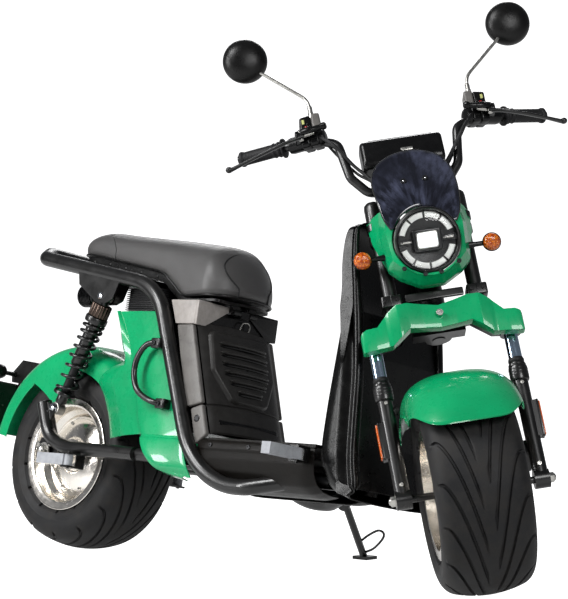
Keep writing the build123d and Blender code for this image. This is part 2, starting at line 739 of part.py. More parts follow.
crown_solid = steer_plate(crown_outline(7), 36, 80)
crown_solid += Pos(0, 0, 380) * Cylinder(30, 28, align=(Align.CENTER, Align.CENTER, Align.MIN))
crown_solid += box_between((0, -60, 380), (40, 60, 408))
crown_solid += Pos(0, 0, 378) * Cylinder(STEM_RADIUS, 278, align=(Align.CENTER, Align.CENTER, Align.MIN))
for side in (-1, 1):
    crown_solid += Pos(AXLE_O, side * FORK_HALF, CROWN_LOW - 6) * Cylinder(
        24, 46, align=(Align.CENTER, Align.CENTER, Align.MIN)
    )
    crown_solid -= Pos(AXLE_O, side * FORK_HALF, CROWN_LOW - 10) * Cylinder(
        STANCHION_RADIUS, 70, align=(Align.CENTER, Align.CENTER, Align.MIN)
    )
steer_pieces["crown_cover"] = steer_plate(crown_outline(0), 81, 108)

stanchion = Pos(AXLE_O, -FORK_HALF, 190) * Cylinder(
    STANCHION_RADIUS, CROWN_HIGH - 190, align=(Align.CENTER, Align.CENTER, Align.MIN)
)
steer_pieces["fork_stanchions"] = pair(stanchion)


def fork_leg():
    """Slider with collar, reflector plate and axle lug."""
    x, y = AXLE_O, -FORK_HALF
    base = (Align.CENTER, Align.CENTER, Align.MIN)
    leg = Pos(x, y, 0) * Cylinder(LEG_RADIUS, 236, align=base)
    leg += Pos(x, y, 236) * Cylinder(LEG_RADIUS + 3, 34, align=base)
    leg += rod((x, y - 17, 0), (x, y + 17, 0), 21)
    leg += box_between((x - 12, y - 26, 96), (x + 12, y - 12, 180))
    leg += rod((x, y + 12, 207), (x, -FRONT_FENDER_HALF, 207), 8)
    return leg - Pos(x, y, 180) * Cylinder(STANCHION_RADIUS + 0.02, 100, align=base)


FRONT_FENDER_HALF = 127.0
FRONT_AXLE_HALF = 176.0
leg = fork_leg()
front_axle = rod((AXLE_O, -FRONT_AXLE_HALF, 0), (AXLE_O, FRONT_AXLE_HALF, 0), AXLE_RADIUS)
front_caliper = Pos(AXLE_O, 0, 0) * caliper(FRONT_HUB_HALF, FRONT_DISC, FORK_HALF - 10, -25)
steer_pieces["fork_legs"] = leg + mirrored(leg) + front_axle + front_caliper

UPPER_Y = 97.0
SHROUD_BACK = 84.0
SHROUD_TOP = 668.0
SHROUD_FRONT = 138.0
SHROUD_HALF = 100.0
UPPER_TOP = 706.0
upper = Pos(AXLE_O, -UPPER_Y, 400) * Cylinder(
    17, UPPER_TOP - 400, align=(Align.CENTER, Align.CENTER, Align.MIN)
)
upper += rod((AXLE_O, -UPPER_Y + 9, 560), (SHROUD_BACK, -UPPER_Y + 9, 560), 7)
steer_pieces["fork_crown"] = crown_solid + upper + mirrored(upper)


def top_clamp():
    """Upper bridge on the stem that carries the tubes and the bar."""
    base = (Align.CENTER, Align.CENTER, Align.MIN)
    bridge = Pos(0, 0, 640) * Cylinder(28, 16, align=base)
    bridge += box_between((8, -UPPER_Y, 640), (72, UPPER_Y, 656))
    for y in (-UPPER_Y, UPPER_Y):
        bridge += Pos(AXLE_O, y, 640) * Cylinder(24, 16, align=base)
        bridge -= Pos(AXLE_O, y, 600) * Cylinder(17, 80, align=base)
    bridge -= Pos(0, 0, 600) * Cylinder(STEM_RADIUS, 80, align=base)
    riser = box_between((-14, -72, 656), (14, -48, 757))
    return bridge + box_between((-14, -72, 656), (30, 72, 664)) + riser + mirrored(riser)


steer_pieces["top_clamp"] = top_clamp()

BAR_A = 768.0
GRIP_START = 262.0
GRIP_END = 376.0
BAR_PATH = [
    (0, 0, BAR_A), (0, -92, BAR_A), (-2, -128, 815), (-6, -142, 910), (-20, -196, 936), (-96, -372, 950),
]


def handlebar(radius=BAR_RADIUS):
    """Bar rising from the clamp, then out and back to the grips."""
    right = tube(BAR_PATH, radius, [28, 40, 28, 60])
    return right + mirrored(right)


steer_pieces["handlebar"] = handlebar()


def bar_point(distance_y):
    """The point on the straight outer part of the bar at a given y."""
    (o1, y1, a1), (o2, y2, a2) = BAR_PATH[-2], BAR_PATH[-1]
    share = (distance_y - y1) / (y2 - y1)
    return (o1 + (o2 - o1) * share, distance_y, a1 + (a2 - a1) * share)


def grips():
    """Rubber grips with their flanges."""
    body = rod(bar_point(-GRIP_START), bar_point(-GRIP_END), 16)
    flange = rod(bar_point(-GRIP_START), bar_point(-GRIP_START - 6), 24)
    return pair(body + flange - rod(bar_point(-200), bar_point(-GRIP_END + 4), BAR_RADIUS + 0.05))


steer_pieces["grips"] = grips()


BLOCK_TOP = 996.0
MIRROR_A = 1173.0


def switch_boxes():
    """Switch and mirror clamp blocks inboard of the grips."""
    block = box_between((-42, -222, 914), (8, -172, BLOCK_TOP))
    return pair(block - handlebar(BAR_RADIUS + 0.05))


steer_pieces["switch_boxes"] = switch_boxes()


def brake_levers():
    """Perches on the bar and blades in front of the grips."""
    perch = box_between((-50, -238, 924), (18, -223, 954)) - handlebar(BAR_RADIUS + 0.05)
    blade = rod((12, -230, 936), (6, -300, 924), 7) + rod((6, -300, 924), (-42, -402, 902), 5)
    return pair(perch + blade + Pos(-42, -402, 902) * Sphere(9))


steer_pieces["brake_levers"] = brake_levers()


def mirrors():
    """Round mirrors on bent rods that stand on the switch blocks."""
    o = -20.0
    path = [(o, -190, BLOCK_TOP), (o, -191, 1040), (o - 10, -268, 1130), (o - 14, -316, MIRROR_A + 1)]
    stem = tube(path, 4.5, [14, 30])
    head = Pos(o - 16, -321, MIRROR_A) * Rot(0, 90 + RAKE - 6, 0) * Cylinder(52.5, 22)
    return pair(stem + head)


steer_pieces["mirrors"] = mirrors()

# The lamp faces straight ahead: its axis is level when the machine is upright.
LAMP_PLACE = Pos(150, 0, 563) * Rot(0, 90 + RAKE, 0)
LAMP_RADIUS = 76.0


def lamp_round(radius, back, length):
    """A round bar on the lamp's axis, from back along the way it shines."""
    at_back = (Align.CENTER, Align.CENTER, Align.MIN)
    return LAMP_PLACE * Pos(0, 0, back) * Cylinder(radius, length, align=at_back)


def lamp_way(radius):
    """What the lamp's housing takes up, with room round it."""
    return lamp_round(radius, -140, 240)


steer_pieces["headlight"] = lamp_round(LAMP_RADIUS, -58, 62)
steer_pieces["headlight_lens"] = lamp_round(LAMP_RADIUS - 6, 4.3, 4)


def headlight_shroud():
    """Green cowl round the lamp."""
    half = [(28, 474), (72, 500), (94, 524), (SHROUD_HALF, 606), (91, SHROUD_TOP)]
    outline = half + [(-y, a) for y, a in reversed(half)]
    cowl = steer_plate(outline, SHROUD_BACK, SHROUD_FRONT)
    return cowl - lamp_way(LAMP_RADIUS + 0.6)


def windscreen():
    """Smoked screen over the lamp: bent back at the top, its lower edge round the lamp's ring."""
    back = [(SHROUD_FRONT + 0.3, 596), (SHROUD_FRONT + 0.3, SHROUD_TOP), (130, 720), (114, 772), (106, 800)]
    bent = plate(back + [(o + 4, a) for o, a in reversed(back)], -SHROUD_HALF, SHROUD_HALF)
    half = [(74, 598), (80, 643), (92, 710), (86, 744), (70, 770), (40, 789)]
    outline = [*half, (0, 796), *[(-y, a) for y, a in reversed(half)]]
    screen = bent & steer_plate(outline, 80, 180)
    return screen - lamp_way(LAMP_RADIUS + 3)


steer_pieces["headlight_shroud"] = headlight_shroud()
steer_pieces["windscreen"] = windscreen()
dash = box_between((-20, -94, 812), (40, 94, 884))
for y in (-36, 36):
    dash += rod((0, y, BAR_A + BAR_RADIUS + 0.1), (0, y, 814), 6)
steer_pieces["dash"] = dash


def front_signals():
    """Round turn signals on stems at each side of the cowl."""
    stem = rod((100, -SHROUD_HALF + 2.8, 557), (100, -134, 557), 6)
    return pair(stem + Pos(100, -148, 557) * Rot(0, 90 + RAKE, 0) * Cylinder(21, 34))


steer_pieces["front_signals"] = front_signals()

# ---------------------------------------------------------------- wheels in place
bike_pieces["rear_tyre"] = REAR_AXLE * tyre()
bike_pieces["rear_rim"] = REAR_AXLE * rear_rim()
front_wheel_pieces["front_tyre"] = tyre()
front_wheel_pieces["front_rim"] = front_rim()
steer_pieces["front_fender"] = Pos(AXLE_O, 0, 0) * Rot(0, RAKE, 0) * arch(
    262, FRONT_FENDER_HALF, 205, 4, 38, 142, 52
)

# ---------------------------------------------------------------- parked pose
def tyre_reach(axle_z):
    """How far below its centre a tyre reaches, from its axle's vertical part."""
    level = math.sqrt(1 - axle_z ** 2)
    tilt = math.asin(abs(axle_z))
    if tilt <= SHOULDER_TILT:
        return CROWN_CENTRE * level + CROWN_RADIUS
    return SHOULDER_CENTRE * level + SHOULDER_Y * abs(axle_z) + SHOULDER_RADIUS


STEERED = STEER_FRAME * Rot(0, 0, -STEER_STOP)
FRONT_WHEEL_FRAME = STEERED * Pos(AXLE_O, 0, 0) * Rot(0, RAKE, 0)


def lowest(placed):
    """Where a tyre's centre is, and the height of its lowest point."""
    centre = placed.position
    axle = (placed * Pos(0, 1, 0)).position - centre
    return centre, centre.Z - tyre_reach(axle.Z)


pitch = 0.0
for attempt in range(4):
    leaning = Rot(0, pitch, 0) * Rot(-LEAN, 0, 0)
    rear_centre, rear_low = lowest(leaning * REAR_AXLE)
    front_centre, front_low = lowest(leaning * FRONT_WHEEL_FRAME)
    pitch += math.degrees(math.atan2(front_low - rear_low, front_centre.X - rear_centre.X))
PARKED = Pos(0, 0, -rear_low) * leaning


def on_ground(x, y):
    """The bike-frame point over (x, y) that lies on the floor once parked."""
    low, high = (PARKED * Pos(x, y, 0)).position.Z, (PARKED * Pos(x, y, 100)).position.Z
    return Vector(x, y, -100 * low / (high - low))


STAND_FOOT = on_ground(STAND_FOOT_X, STAND_FOOT_Y)


def side_stand():
    """A leg on a pivot, its foot cut level with the floor."""
    foot = STAND_FOOT
    leg = rod(tuple(STAND_PIVOT), tuple(foot), STAND_RADIUS)
    pad = Pos(*foot) * Rot(LEAN, 0, 0) * Box(46, 40, 16)
    floor = PARKED.inverse() * Pos(0, 0, -50) * Box(4000, 4000, 100)
    knuckle = stand_pin(14, 9)
    return leg + knuckle + pad - floor - stand_pin(STAND_PIN + RUNNING_GAP, 40)


def stand_axis():
    """The pivot's direction: it takes the leg from the floor to level and back."""
    down = (STAND_FOOT - STAND_PIVOT).normalized()
    folded = Vector(*STAND_FOLDED).normalized()
    between = (down - folded).normalized()
    across = Vector(0, 1, 0)
    return (across - between * across.dot(between)).normalized()


def stand_pin(radius, half_length):
    """A round bar on the stand's pivot."""
    along = stand_axis() * half_length
    return rod(tuple(STAND_PIVOT - along), tuple(STAND_PIVOT + along), radius)


def stand_bracket():
    """Ear and pin that carry the side stand, outside the left frame tube."""
    axis = stand_axis()
    inner, outer = STAND_PIVOT - axis * 15.5, STAND_PIVOT - axis * 9.5
    ear = rod(tuple(inner), tuple(outer), 15)
    pin = rod(tuple(inner), tuple(STAND_PIVOT + axis * 9), STAND_PIN)
    arm = rod(tuple((inner + outer) * 0.5), (722, FRAME_HALF - 10, STAND_PIVOT.Z), 2.9)
    return ear + pin + arm


bike_pieces["side_stand"] = side_stand()
bike_pieces["main_frame"] = main_frame()

# ---------------------------------------------------------------- write
placed = {name: PARKED * shape for name, shape in bike_pieces.items()}
placed |= {name: PARKED * STEERED * shape for name, shape in steer_pieces.items()}
placed |= {name: PARKED * FRONT_WHEEL_FRAME * shape for name, shape in front_wheel_pieces.items()}

box = Compound(children=[solid for shape in placed.values() for solid in shape.solids()]).bounding_box()
SHIFT = Pos(-(box.min.X + box.max.X) / 2, -(box.min.Y + box.max.Y) / 2, -box.min.Z)

for name, shape in placed.items():
    solids = (SHIFT * shape).solids()
    kept = solids[0] if len(solids) == 1 else Compound(children=list(solids))
    export_step(kept, f"parts/{name}.step")
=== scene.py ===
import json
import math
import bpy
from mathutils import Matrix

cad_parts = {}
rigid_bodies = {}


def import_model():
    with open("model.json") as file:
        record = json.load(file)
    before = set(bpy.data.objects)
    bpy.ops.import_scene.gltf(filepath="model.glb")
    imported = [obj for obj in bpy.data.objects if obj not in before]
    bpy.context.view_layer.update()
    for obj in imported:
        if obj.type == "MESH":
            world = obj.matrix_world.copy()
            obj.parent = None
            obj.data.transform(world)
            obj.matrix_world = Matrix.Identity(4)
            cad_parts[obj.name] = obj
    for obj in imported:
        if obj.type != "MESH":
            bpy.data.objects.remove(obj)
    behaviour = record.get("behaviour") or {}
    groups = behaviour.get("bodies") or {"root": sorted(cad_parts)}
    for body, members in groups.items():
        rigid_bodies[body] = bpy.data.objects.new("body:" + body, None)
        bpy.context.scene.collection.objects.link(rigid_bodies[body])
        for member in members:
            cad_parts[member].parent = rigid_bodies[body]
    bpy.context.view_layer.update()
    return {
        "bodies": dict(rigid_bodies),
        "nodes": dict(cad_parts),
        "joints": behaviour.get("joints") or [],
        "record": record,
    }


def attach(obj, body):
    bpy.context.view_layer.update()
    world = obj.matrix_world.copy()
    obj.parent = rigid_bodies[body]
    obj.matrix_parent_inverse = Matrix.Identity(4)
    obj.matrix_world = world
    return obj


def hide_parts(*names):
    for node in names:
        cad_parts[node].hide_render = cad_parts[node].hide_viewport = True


bl_info = {
    "name": "Electric Scooter Finish",
    "version": (1, 0, 0),
    "blender": (4, 5, 0),
    "location": "View3D > Sidebar > Scooter",
    "description": "Builds the visible surfaces, finishes, stage and camera of a parked electric scooter",
    "category": "Object",
}

import bpy
import numpy as np
from bpy.props import FloatProperty, FloatVectorProperty, IntProperty, PointerProperty
from mathutils import Vector
from mathutils.geometry import tessellate_polygon

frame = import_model()

# Design values that the frame doesn't name, in metres and degrees.
RAKE = 22.9
FORK_OFFSET = 0.0567
AXLE_HEIGHT = 0.230


# ---------------------------------------------------------------- frames of the machine
def joint(name):
    """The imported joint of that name."""
    return next(j for j in frame["joints"] if j["name"] == name)


def unit(vector):
    """The vector, or each vector of an array, at length one."""
    vector = np.asarray(vector, float)
    return vector / np.linalg.norm(vector, axis=-1, keepdims=True)


def basis(origin, x, y, z):
    """A 4 x 4 matrix whose columns are three axes and an origin."""
    matrix = np.eye(4)
    matrix[:3, :3] = np.stack([x, y, z], axis=1)
    matrix[:3, 3] = origin
    return matrix


def bike_frame():
    """X forward, Y left, Z up through the machine itself, its origin below the rear axle."""
    left = unit(joint("rear_wheel_spin")["axis"])
    column = unit(joint("steering")["axis"])
    square = np.cross(left, column)
    rake = math.radians(RAKE)
    up = column * math.cos(rake) + square * math.sin(rake)
    origin = np.array(joint("rear_wheel_spin")["pos_m"]) - up * AXLE_HEIGHT
    return basis(origin, np.cross(left, up), left, up)


def steering_frame():
    """Z up the steering axis, Y along the front axle, its origin at the axle's height on the axis."""
    column = unit(joint("steering")["axis"])
    left = unit(joint("front_wheel_spin")["axis"])
    ahead = np.cross(left, column)
    origin = np.array(joint("front_wheel_spin")["pos_m"]) - ahead * FORK_OFFSET
    return basis(origin, ahead, left, column)


BIKE = bike_frame()
STEER = steering_frame()
REAR_WHEEL = BIKE @ basis((0, 0, AXLE_HEIGHT), (1, 0, 0), (0, 1, 0), (0, 0, 1))
FRONT_WHEEL = STEER @ basis((FORK_OFFSET, 0, 0), (1, 0, 0), (0, 1, 0), (0, 0, 1))


def moved(matrix, points):
    """Points carried by a 4 x 4 matrix."""
    points = np.asarray(points, float)
    return points @ matrix[:3, :3].T + matrix[:3, 3]


def facing(origin, ahead, up=(0, 0, 1)):
    """A local frame at a point: its Z looks ahead, its Y is as near to up as it can be."""
    z = unit(ahead)
    x = unit(np.cross(up, z))
    return basis(origin, x, np.cross(z, x), z)


# ---------------------------------------------------------------- surfaces as arrays
class Patch:
    """Points, four-sided faces, three-sided faces and a (u, v) for each point."""

    def __init__(self, points, quads, tris=None, uv=None, finish=0):
        self.points = np.asarray(points, float).reshape(-1, 3)
        self.quads = np.asarray(quads, int).reshape(-1, 4)
        self.tris = np.asarray([] if tris is None else tris, int).reshape(-1, 3)
        self.uv = np.zeros((len(self.points), 2)) if uv is None else np.asarray(uv, float).reshape(-1, 2)
        self.finish = finish

    def carried(self, matrix):
        """The same patch, moved by a matrix."""
        return Patch(moved(matrix, self.points), self.quads, self.tris, self.uv, self.finish)

    def flipped(self):
        """The same patch with its faces turned over."""
        return Patch(self.points, self.quads[:, ::-1], self.tris[:, ::-1], self.uv, self.finish)

    def across(self):
        """Its mirror image on the other side of the local middle plane, y = 0."""
        return Patch(self.points * (1, -1, 1), self.quads[:, ::-1], self.tris[:, ::-1], self.uv, self.finish)

    def finished(self, number):
        """The same patch with another of the piece's finishes."""
        return Patch(self.points, self.quads, self.tris, self.uv, number)


def grid(points, wrap_u=False, wrap_v=False, cap_v=False, uv=None, finish=0):
    """A surface from points[v, u]: each cell of the grid is one face.

    wrap_u and wrap_v join the last column or row to the first. cap_v closes the first and last rows
    with a fan round their mean point.
    """
    points = np.asarray(points, float)
    rows, columns = points.shape[:2]
    index = np.arange(rows * columns).reshape(rows, columns)
    if wrap_u:
        index = np.concatenate([index, index[:, :1]], axis=1)
    if wrap_v:
        index = np.concatenate([index, index[:1]], axis=0)
    quads = np.stack([index[:-1, :-1], index[:-1, 1:], index[1:, 1:], index[1:, :-1]], axis=-1).reshape(-1, 4)
    if uv is None:
        v, u = np.meshgrid(np.linspace(0, 1, rows), np.linspace(0, 1, columns), indexing="ij")
        uv = np.stack([u, v], axis=-1)
    flat, uv, tris = points.reshape(-1, 3), np.asarray(uv, float).reshape(-1, 2), None
    if cap_v:
        first, last, n = index[0], index[-1], len(flat)
        low = np.stack([np.full(len(first) - 1, n), first[1:], first[:-1]], axis=-1)
        high = np.stack([np.full(len(last) - 1, n + 1), last[:-1], last[1:]], axis=-1)
        flat = np.concatenate([flat, [points[0].mean(0), points[-1].mean(0)]])
        uv = np.concatenate([uv, [uv[0], uv[-1]]])
        tris = np.concatenate([low, high])
    return Patch(flat, quads, tris, uv, finish)


def turned(profile, sides=48, finish=0, closed=False):
    """A surface of revolution about local Z: profile is (radius, height) pairs from bottom to top."""
    profile = np.asarray(profile, float)
    angle = np.linspace(0, 2 * math.pi, sides, endpoint=False)
    radius, height = profile[:, 0, None], profile[:, 1, None]
    points = np.stack([radius * np.cos(angle), radius * np.sin(angle), height + 0 * angle], axis=-1)
    return grid(points, wrap_u=True, wrap_v=closed, cap_v=not closed, finish=finish)


def eased(corners, radius, steps=6, closed=True):
    """Corners joined by straight runs, each corner rounded by a quadratic curve of that reach.

    The curve is (1-t)^2 a + 2t(1-t) corner + t^2 b, where a and b lie the reach away on the two runs.
    """
    corners = np.asarray(corners, float)
    radius = np.broadcast_to(np.asarray(radius, float), (len(corners),))[:, None]
    before, after = np.roll(corners, 1, axis=0), np.roll(corners, -1, axis=0)
    back, ahead = np.linalg.norm(before - corners, axis=1), np.linalg.norm(after - corners, axis=1)
    reach = np.minimum(radius[:, 0], 0.49 * np.minimum(back, ahead))[:, None]
    start = corners + (before - corners) / back[:, None] * reach
    end = corners + (after - corners) / ahead[:, None] * reach
    t = np.linspace(0, 1, steps)[None, :, None]
    curve = (1 - t) ** 2 * start[:, None] + 2 * t * (1 - t) * corners[:, None] + t ** 2 * end[:, None]
    if closed:
        return curve.reshape(-1, corners.shape[1])
    middle = curve[1:-1].reshape(-1, corners.shape[1])
    return np.concatenate([corners[:1], middle, corners[-1:]])


def spaced(points, count, closed=False):
    """The same line with its points evenly spaced along it."""
    points = np.asarray(points, float)
    if closed:
        points = np.concatenate([points, points[:1]])
    step = np.linalg.norm(np.diff(points, axis=0), axis=1)
    keep = np.concatenate([[True], step > 1e-9])
    points, along = points[keep], np.concatenate([[0], np.cumsum(step)])[keep]
    wanted = np.linspace(0, along[-1], count + 1)[:-1] if closed else np.linspace(0, along[-1], count)
    return np.stack([np.interp(wanted, along, column) for column in points.T], axis=-1)


def curved(points, count):
    """A smooth line through the points: a centred cubic (Catmull-Rom) in each span."""
    points = np.asarray(points, float)
    ends = np.concatenate([[2 * points[0] - points[1]], points, [2 * points[-1] - points[-2]]])
    where = np.linspace(0, len(points) - 1, count)
    span = np.minimum(where.astype(int), len(points) - 2)
    t = (where - span)[:, None]
    a, b, c, d = (ends[span + k] for k in range(4))
    return 0.5 * (2 * b + (c - a) * t + (2 * a - 5 * b + 4 * c - d) * t ** 2 + (3 * b - a - 3 * c + d) * t ** 3)


def swept(path, section, finish=0, closed=False, scale=None, side=None):
    """A (x, y) section carried along a path, square to it at each point.

    side is the direction that the section's x leans to. Left out, it is the normal of the plane that
    fits the path best.
    """
    path = np.asarray(path, float)
    if closed:
        tangent = np.roll(path, -1, axis=0) - np.roll(path, 1, axis=0)
    else:
        tangent = np.gradient(path, axis=0)
    tangent = unit(tangent)
    if side is None:
        spread = path - path.mean(0)
        side = np.linalg.svd(spread, full_matrices=True)[2][2]
    across = unit(side - (tangent @ np.asarray(side, float))[:, None] * tangent)
    up = np.cross(tangent, across)
    scale = np.ones(len(path)) if scale is None else np.asarray(scale, float)
    section = np.asarray(section, float)
    local = section[None] * scale[:, None, None]
    points = path[:, None] + local[..., :1] * across[:, None] + local[..., 1:] * up[:, None]
    return grid(points, wrap_u=True, wrap_v=closed, cap_v=not closed, finish=finish)


def circle(radius, sides=16):
    """A round section."""
    angle = np.linspace(0, 2 * math.pi, sides, endpoint=False)
    return np.stack([radius * np.cos(angle), radius * np.sin(angle)], axis=-1)


def pipe(path, radius, sides=14, finish=0, closed=False, scale=None):
    """A round bar along a path."""
    return swept(path, circle(radius, sides), finish, closed, scale)


def inset(outline, distance):
    """A closed outline moved inwards by a distance, along the mean normal at each point."""
    outline = np.asarray(outline, float)
    ahead = unit(np.roll(outline, -1, axis=0) - np.roll(outline, 1, axis=0))
    normal = np.stack([-ahead[:, 1], ahead[:, 0]], axis=-1)
    area = np.sum(outline[:, 0] * np.roll(outline[:, 1], -1) - outline[:, 1] * np.roll(outline[:, 0], -1))
    return outline + normal * distance * (1 if area > 0 else -1)


def slab(outline, low, high, edge=0.0015, steps=3, finish=0):
    """A plate with an (x, y) outline between two heights of local Z, its edges rounded.

    Each rounded edge is a quarter circle: the outline goes in by edge (1 - cos a) as it rises by
    edge sin a. The two flat faces are filled with triangles.
    """
    outline = np.asarray(outline, float)
    area = np.sum(outline[:, 0] * np.roll(outline[:, 1], -1) - outline[:, 1] * np.roll(outline[:, 0], -1))
    if area < 0:
        outline = outline[::-1]
    edge = min(edge, 0.49 * (high - low))
    angle = np.linspace(0, math.pi / 2, steps)
    inward, rise = edge * (1 - np.sin(angle)), edge * (1 - np.cos(angle))
    rings = [(i, low + r) for i, r in zip(inward, rise)] + [(i, high - r) for i, r in zip(inward[::-1], rise[::-1])]
    loops = [np.column_stack([inset(outline, i), np.full(len(outline), z)]) for i, z in rings]
    wall = grid(np.array(loops), wrap_u=True)
    fill = np.array(tessellate_polygon([[Vector((x, y, 0)) for x, y in loops[0][:, :2]]]), int).reshape(-1, 3)
    corners = loops[0][:, :2][fill]
    turn = np.cross(corners[:, 1] - corners[:, 0], corners[:, 2] - corners[:, 0])
    fill = np.where((turn > 0)[:, None], fill, fill[:, ::-1])
    last = (len(loops) - 1) * len(outline)
    tris = np.concatenate([fill[:, ::-1], fill + last])
    return Patch(wall.points, wall.quads, tris, wall.uv, finish)


def block(low, high, edge=0.002, finish=0):
    """A box between two corners with rounded upright edges and rims."""
    (x1, y1, z1), (x2, y2, z2) = low, high
    outline = eased([(x1, y1), (x2, y1), (x2, y2), (x1, y2)], edge * 1.5, 4)
    return slab(outline, z1, z2, edge, 3, finish)


def ball(centre, radius, sides=20, squeeze=1.0, finish=0):
    """A sphere, or an oval flattened along local Z by squeeze."""
    turn = np.linspace(0.001, math.pi - 0.001, sides // 2 + 1)
    profile = np.column_stack([radius * np.sin(turn), -radius * squeeze * np.cos(turn)])
    return turned(profile, sides, finish).carried(basis(centre, (1, 0, 0), (0, 1, 0), (0, 0, 1)))


def screw(place, radius, depth=0.004, finish=0):
    """A socket-headed bolt: a rounded head with a six-sided hole, standing on local Z."""
    head = [(radius, 0), (radius, depth * 0.7), (radius * 0.9, depth), (radius * 0.55, depth), (radius * 0.5, depth * 0.5)]
    return turned(head, 12, finish).carried(place)


def dome_nut(place, radius, depth, finish=0):
    """A six-sided nut with a rounded top on local Z."""
    body = turned([(radius, 0), (radius, depth * 0.6), (radius * 0.88, depth * 0.72)], 6, finish)
    cap = turned([(radius * 0.8, depth * 0.6), (radius * 0.62, depth * 0.9), (radius * 0.3, depth)], 16, finish)
    return [p.carried(place) for p in (body, cap)]


def build(name, patches, finishes, body, where=BIKE, replaces=(), auto=32, wall=0.0, edge=0.0):
    """Makes one Blender piece of patches and lets it ride on a body.

    wall gives open surfaces their thickness, inwards, and edge rounds every sharp edge.
    """
    patches = [patches] if isinstance(patches, Patch) else list(patches)
    finishes = [finishes] if isinstance(finishes, bpy.types.Material) else list(finishes)
    starts = np.cumsum([0] + [len(p.points) for p in patches])
    points = moved(where, np.concatenate([p.points for p in patches]))
    quads = np.concatenate([p.quads + s for p, s in zip(patches, starts)])
    tris = np.concatenate([p.tris + s for p, s in zip(patches, starts)])
    marks = np.concatenate([np.full(len(p.quads), p.finish) for p in patches]
                           + [np.full(len(p.tris), p.finish) for p in patches])
    uv = np.concatenate([p.uv for p in patches])
    mesh = bpy.data.meshes.new(name)
    mesh.vertices.add(len(points))
    mesh.vertices.foreach_set("co", points.astype(np.float32).ravel())
    corners = np.concatenate([quads.ravel(), tris.ravel()])
    starts = np.concatenate([np.arange(len(quads)) * 4, len(quads) * 4 + np.arange(len(tris)) * 3])
    mesh.loops.add(len(corners))
    mesh.loops.foreach_set("vertex_index", corners.astype(np.int32))
    mesh.polygons.add(len(starts))
    mesh.polygons.foreach_set("loop_start", starts.astype(np.int32))
    mesh.polygons.foreach_set("material_index", marks.astype(np.int32))
    mesh.update(calc_edges=True)
    layer = mesh.uv_layers.new(name="surface")
    layer.data.foreach_set("uv", uv[corners].astype(np.float32).ravel())
    for material in finishes:
        mesh.materials.append(material)
    mesh.validate()
    smooth_by_angle(mesh, auto)
    piece = bpy.data.objects.new(name, mesh)
    bpy.context.scene.collection.objects.link(piece)
    if wall:
        solid = piece.modifiers.new("Wall", "SOLIDIFY")
        solid.thickness, solid.offset = wall, -1.0
    if edge:
        bevel = piece.modifiers.new("Edge", "BEVEL")
        bevel.width, bevel.segments = edge, 2
        bevel.limit_method, bevel.angle_limit = "ANGLE", math.radians(40)
    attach(piece, body)
    if replaces:
        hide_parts(*([replaces] if isinstance(replaces, str) else replaces))
    return piece


def smooth_by_angle(mesh, degrees):
    """Smooth shading everywhere but at edges that bend by more than an angle."""
    mesh.polygons.foreach_set("use_smooth", np.ones(len(mesh.polygons), bool))
    mesh.set_sharp_from_angle(angle=math.radians(degrees))


# ---------------------------------------------------------------- sizes and colours
class ScooterSizes(bpy.types.PropertyGroup):
    """Sizes of the visible surfaces."""

    groove_depth: FloatProperty(name="Groove depth", description="Depth of the tyre's grooves", default=0.0062,
                                unit="LENGTH")
    groove_width: FloatProperty(name="Groove width", description="Width of the tyre's grooves", default=0.0078,
                                unit="LENGTH")
    groove_count: IntProperty(name="Groove count", description="Grooves round each half of a tyre", default=14)
    seat_crown: FloatProperty(name="Seat crown", description="How far the cushion's top bulges", default=0.020,
                              unit="LENGTH")
    spring_wire: FloatProperty(name="Spring wire", description="Wire thickness of the shock springs", default=0.0085,
                               unit="LENGTH")
    spring_turns: IntProperty(name="Spring turns", description="Turns of each shock spring", default=8)
    segment_count: IntProperty(name="Lamp segments", description="Light segments round the headlight", default=8)


class ScooterColours(bpy.types.PropertyGroup):
    """Colours of the finishes."""

    body_green: FloatVectorProperty(name="Body green", description="Painted panels", subtype="COLOR", size=3,
                                    default=(0.0005, 0.275, 0.098))
    frame_black: FloatVectorProperty(name="Frame black", description="Frame paint", subtype="COLOR", size=3,
                                     default=(0.0022, 0.0021, 0.0020))
    seat_grey: FloatVectorProperty(name="Seat grey", description="Seat cover", subtype="COLOR", size=3,
                                   default=(0.034, 0.0325, 0.032))
    amber: FloatVectorProperty(name="Amber", description="Turn signal lenses", subtype="COLOR", size=3,
                               default=(0.85, 0.20, 0.012))


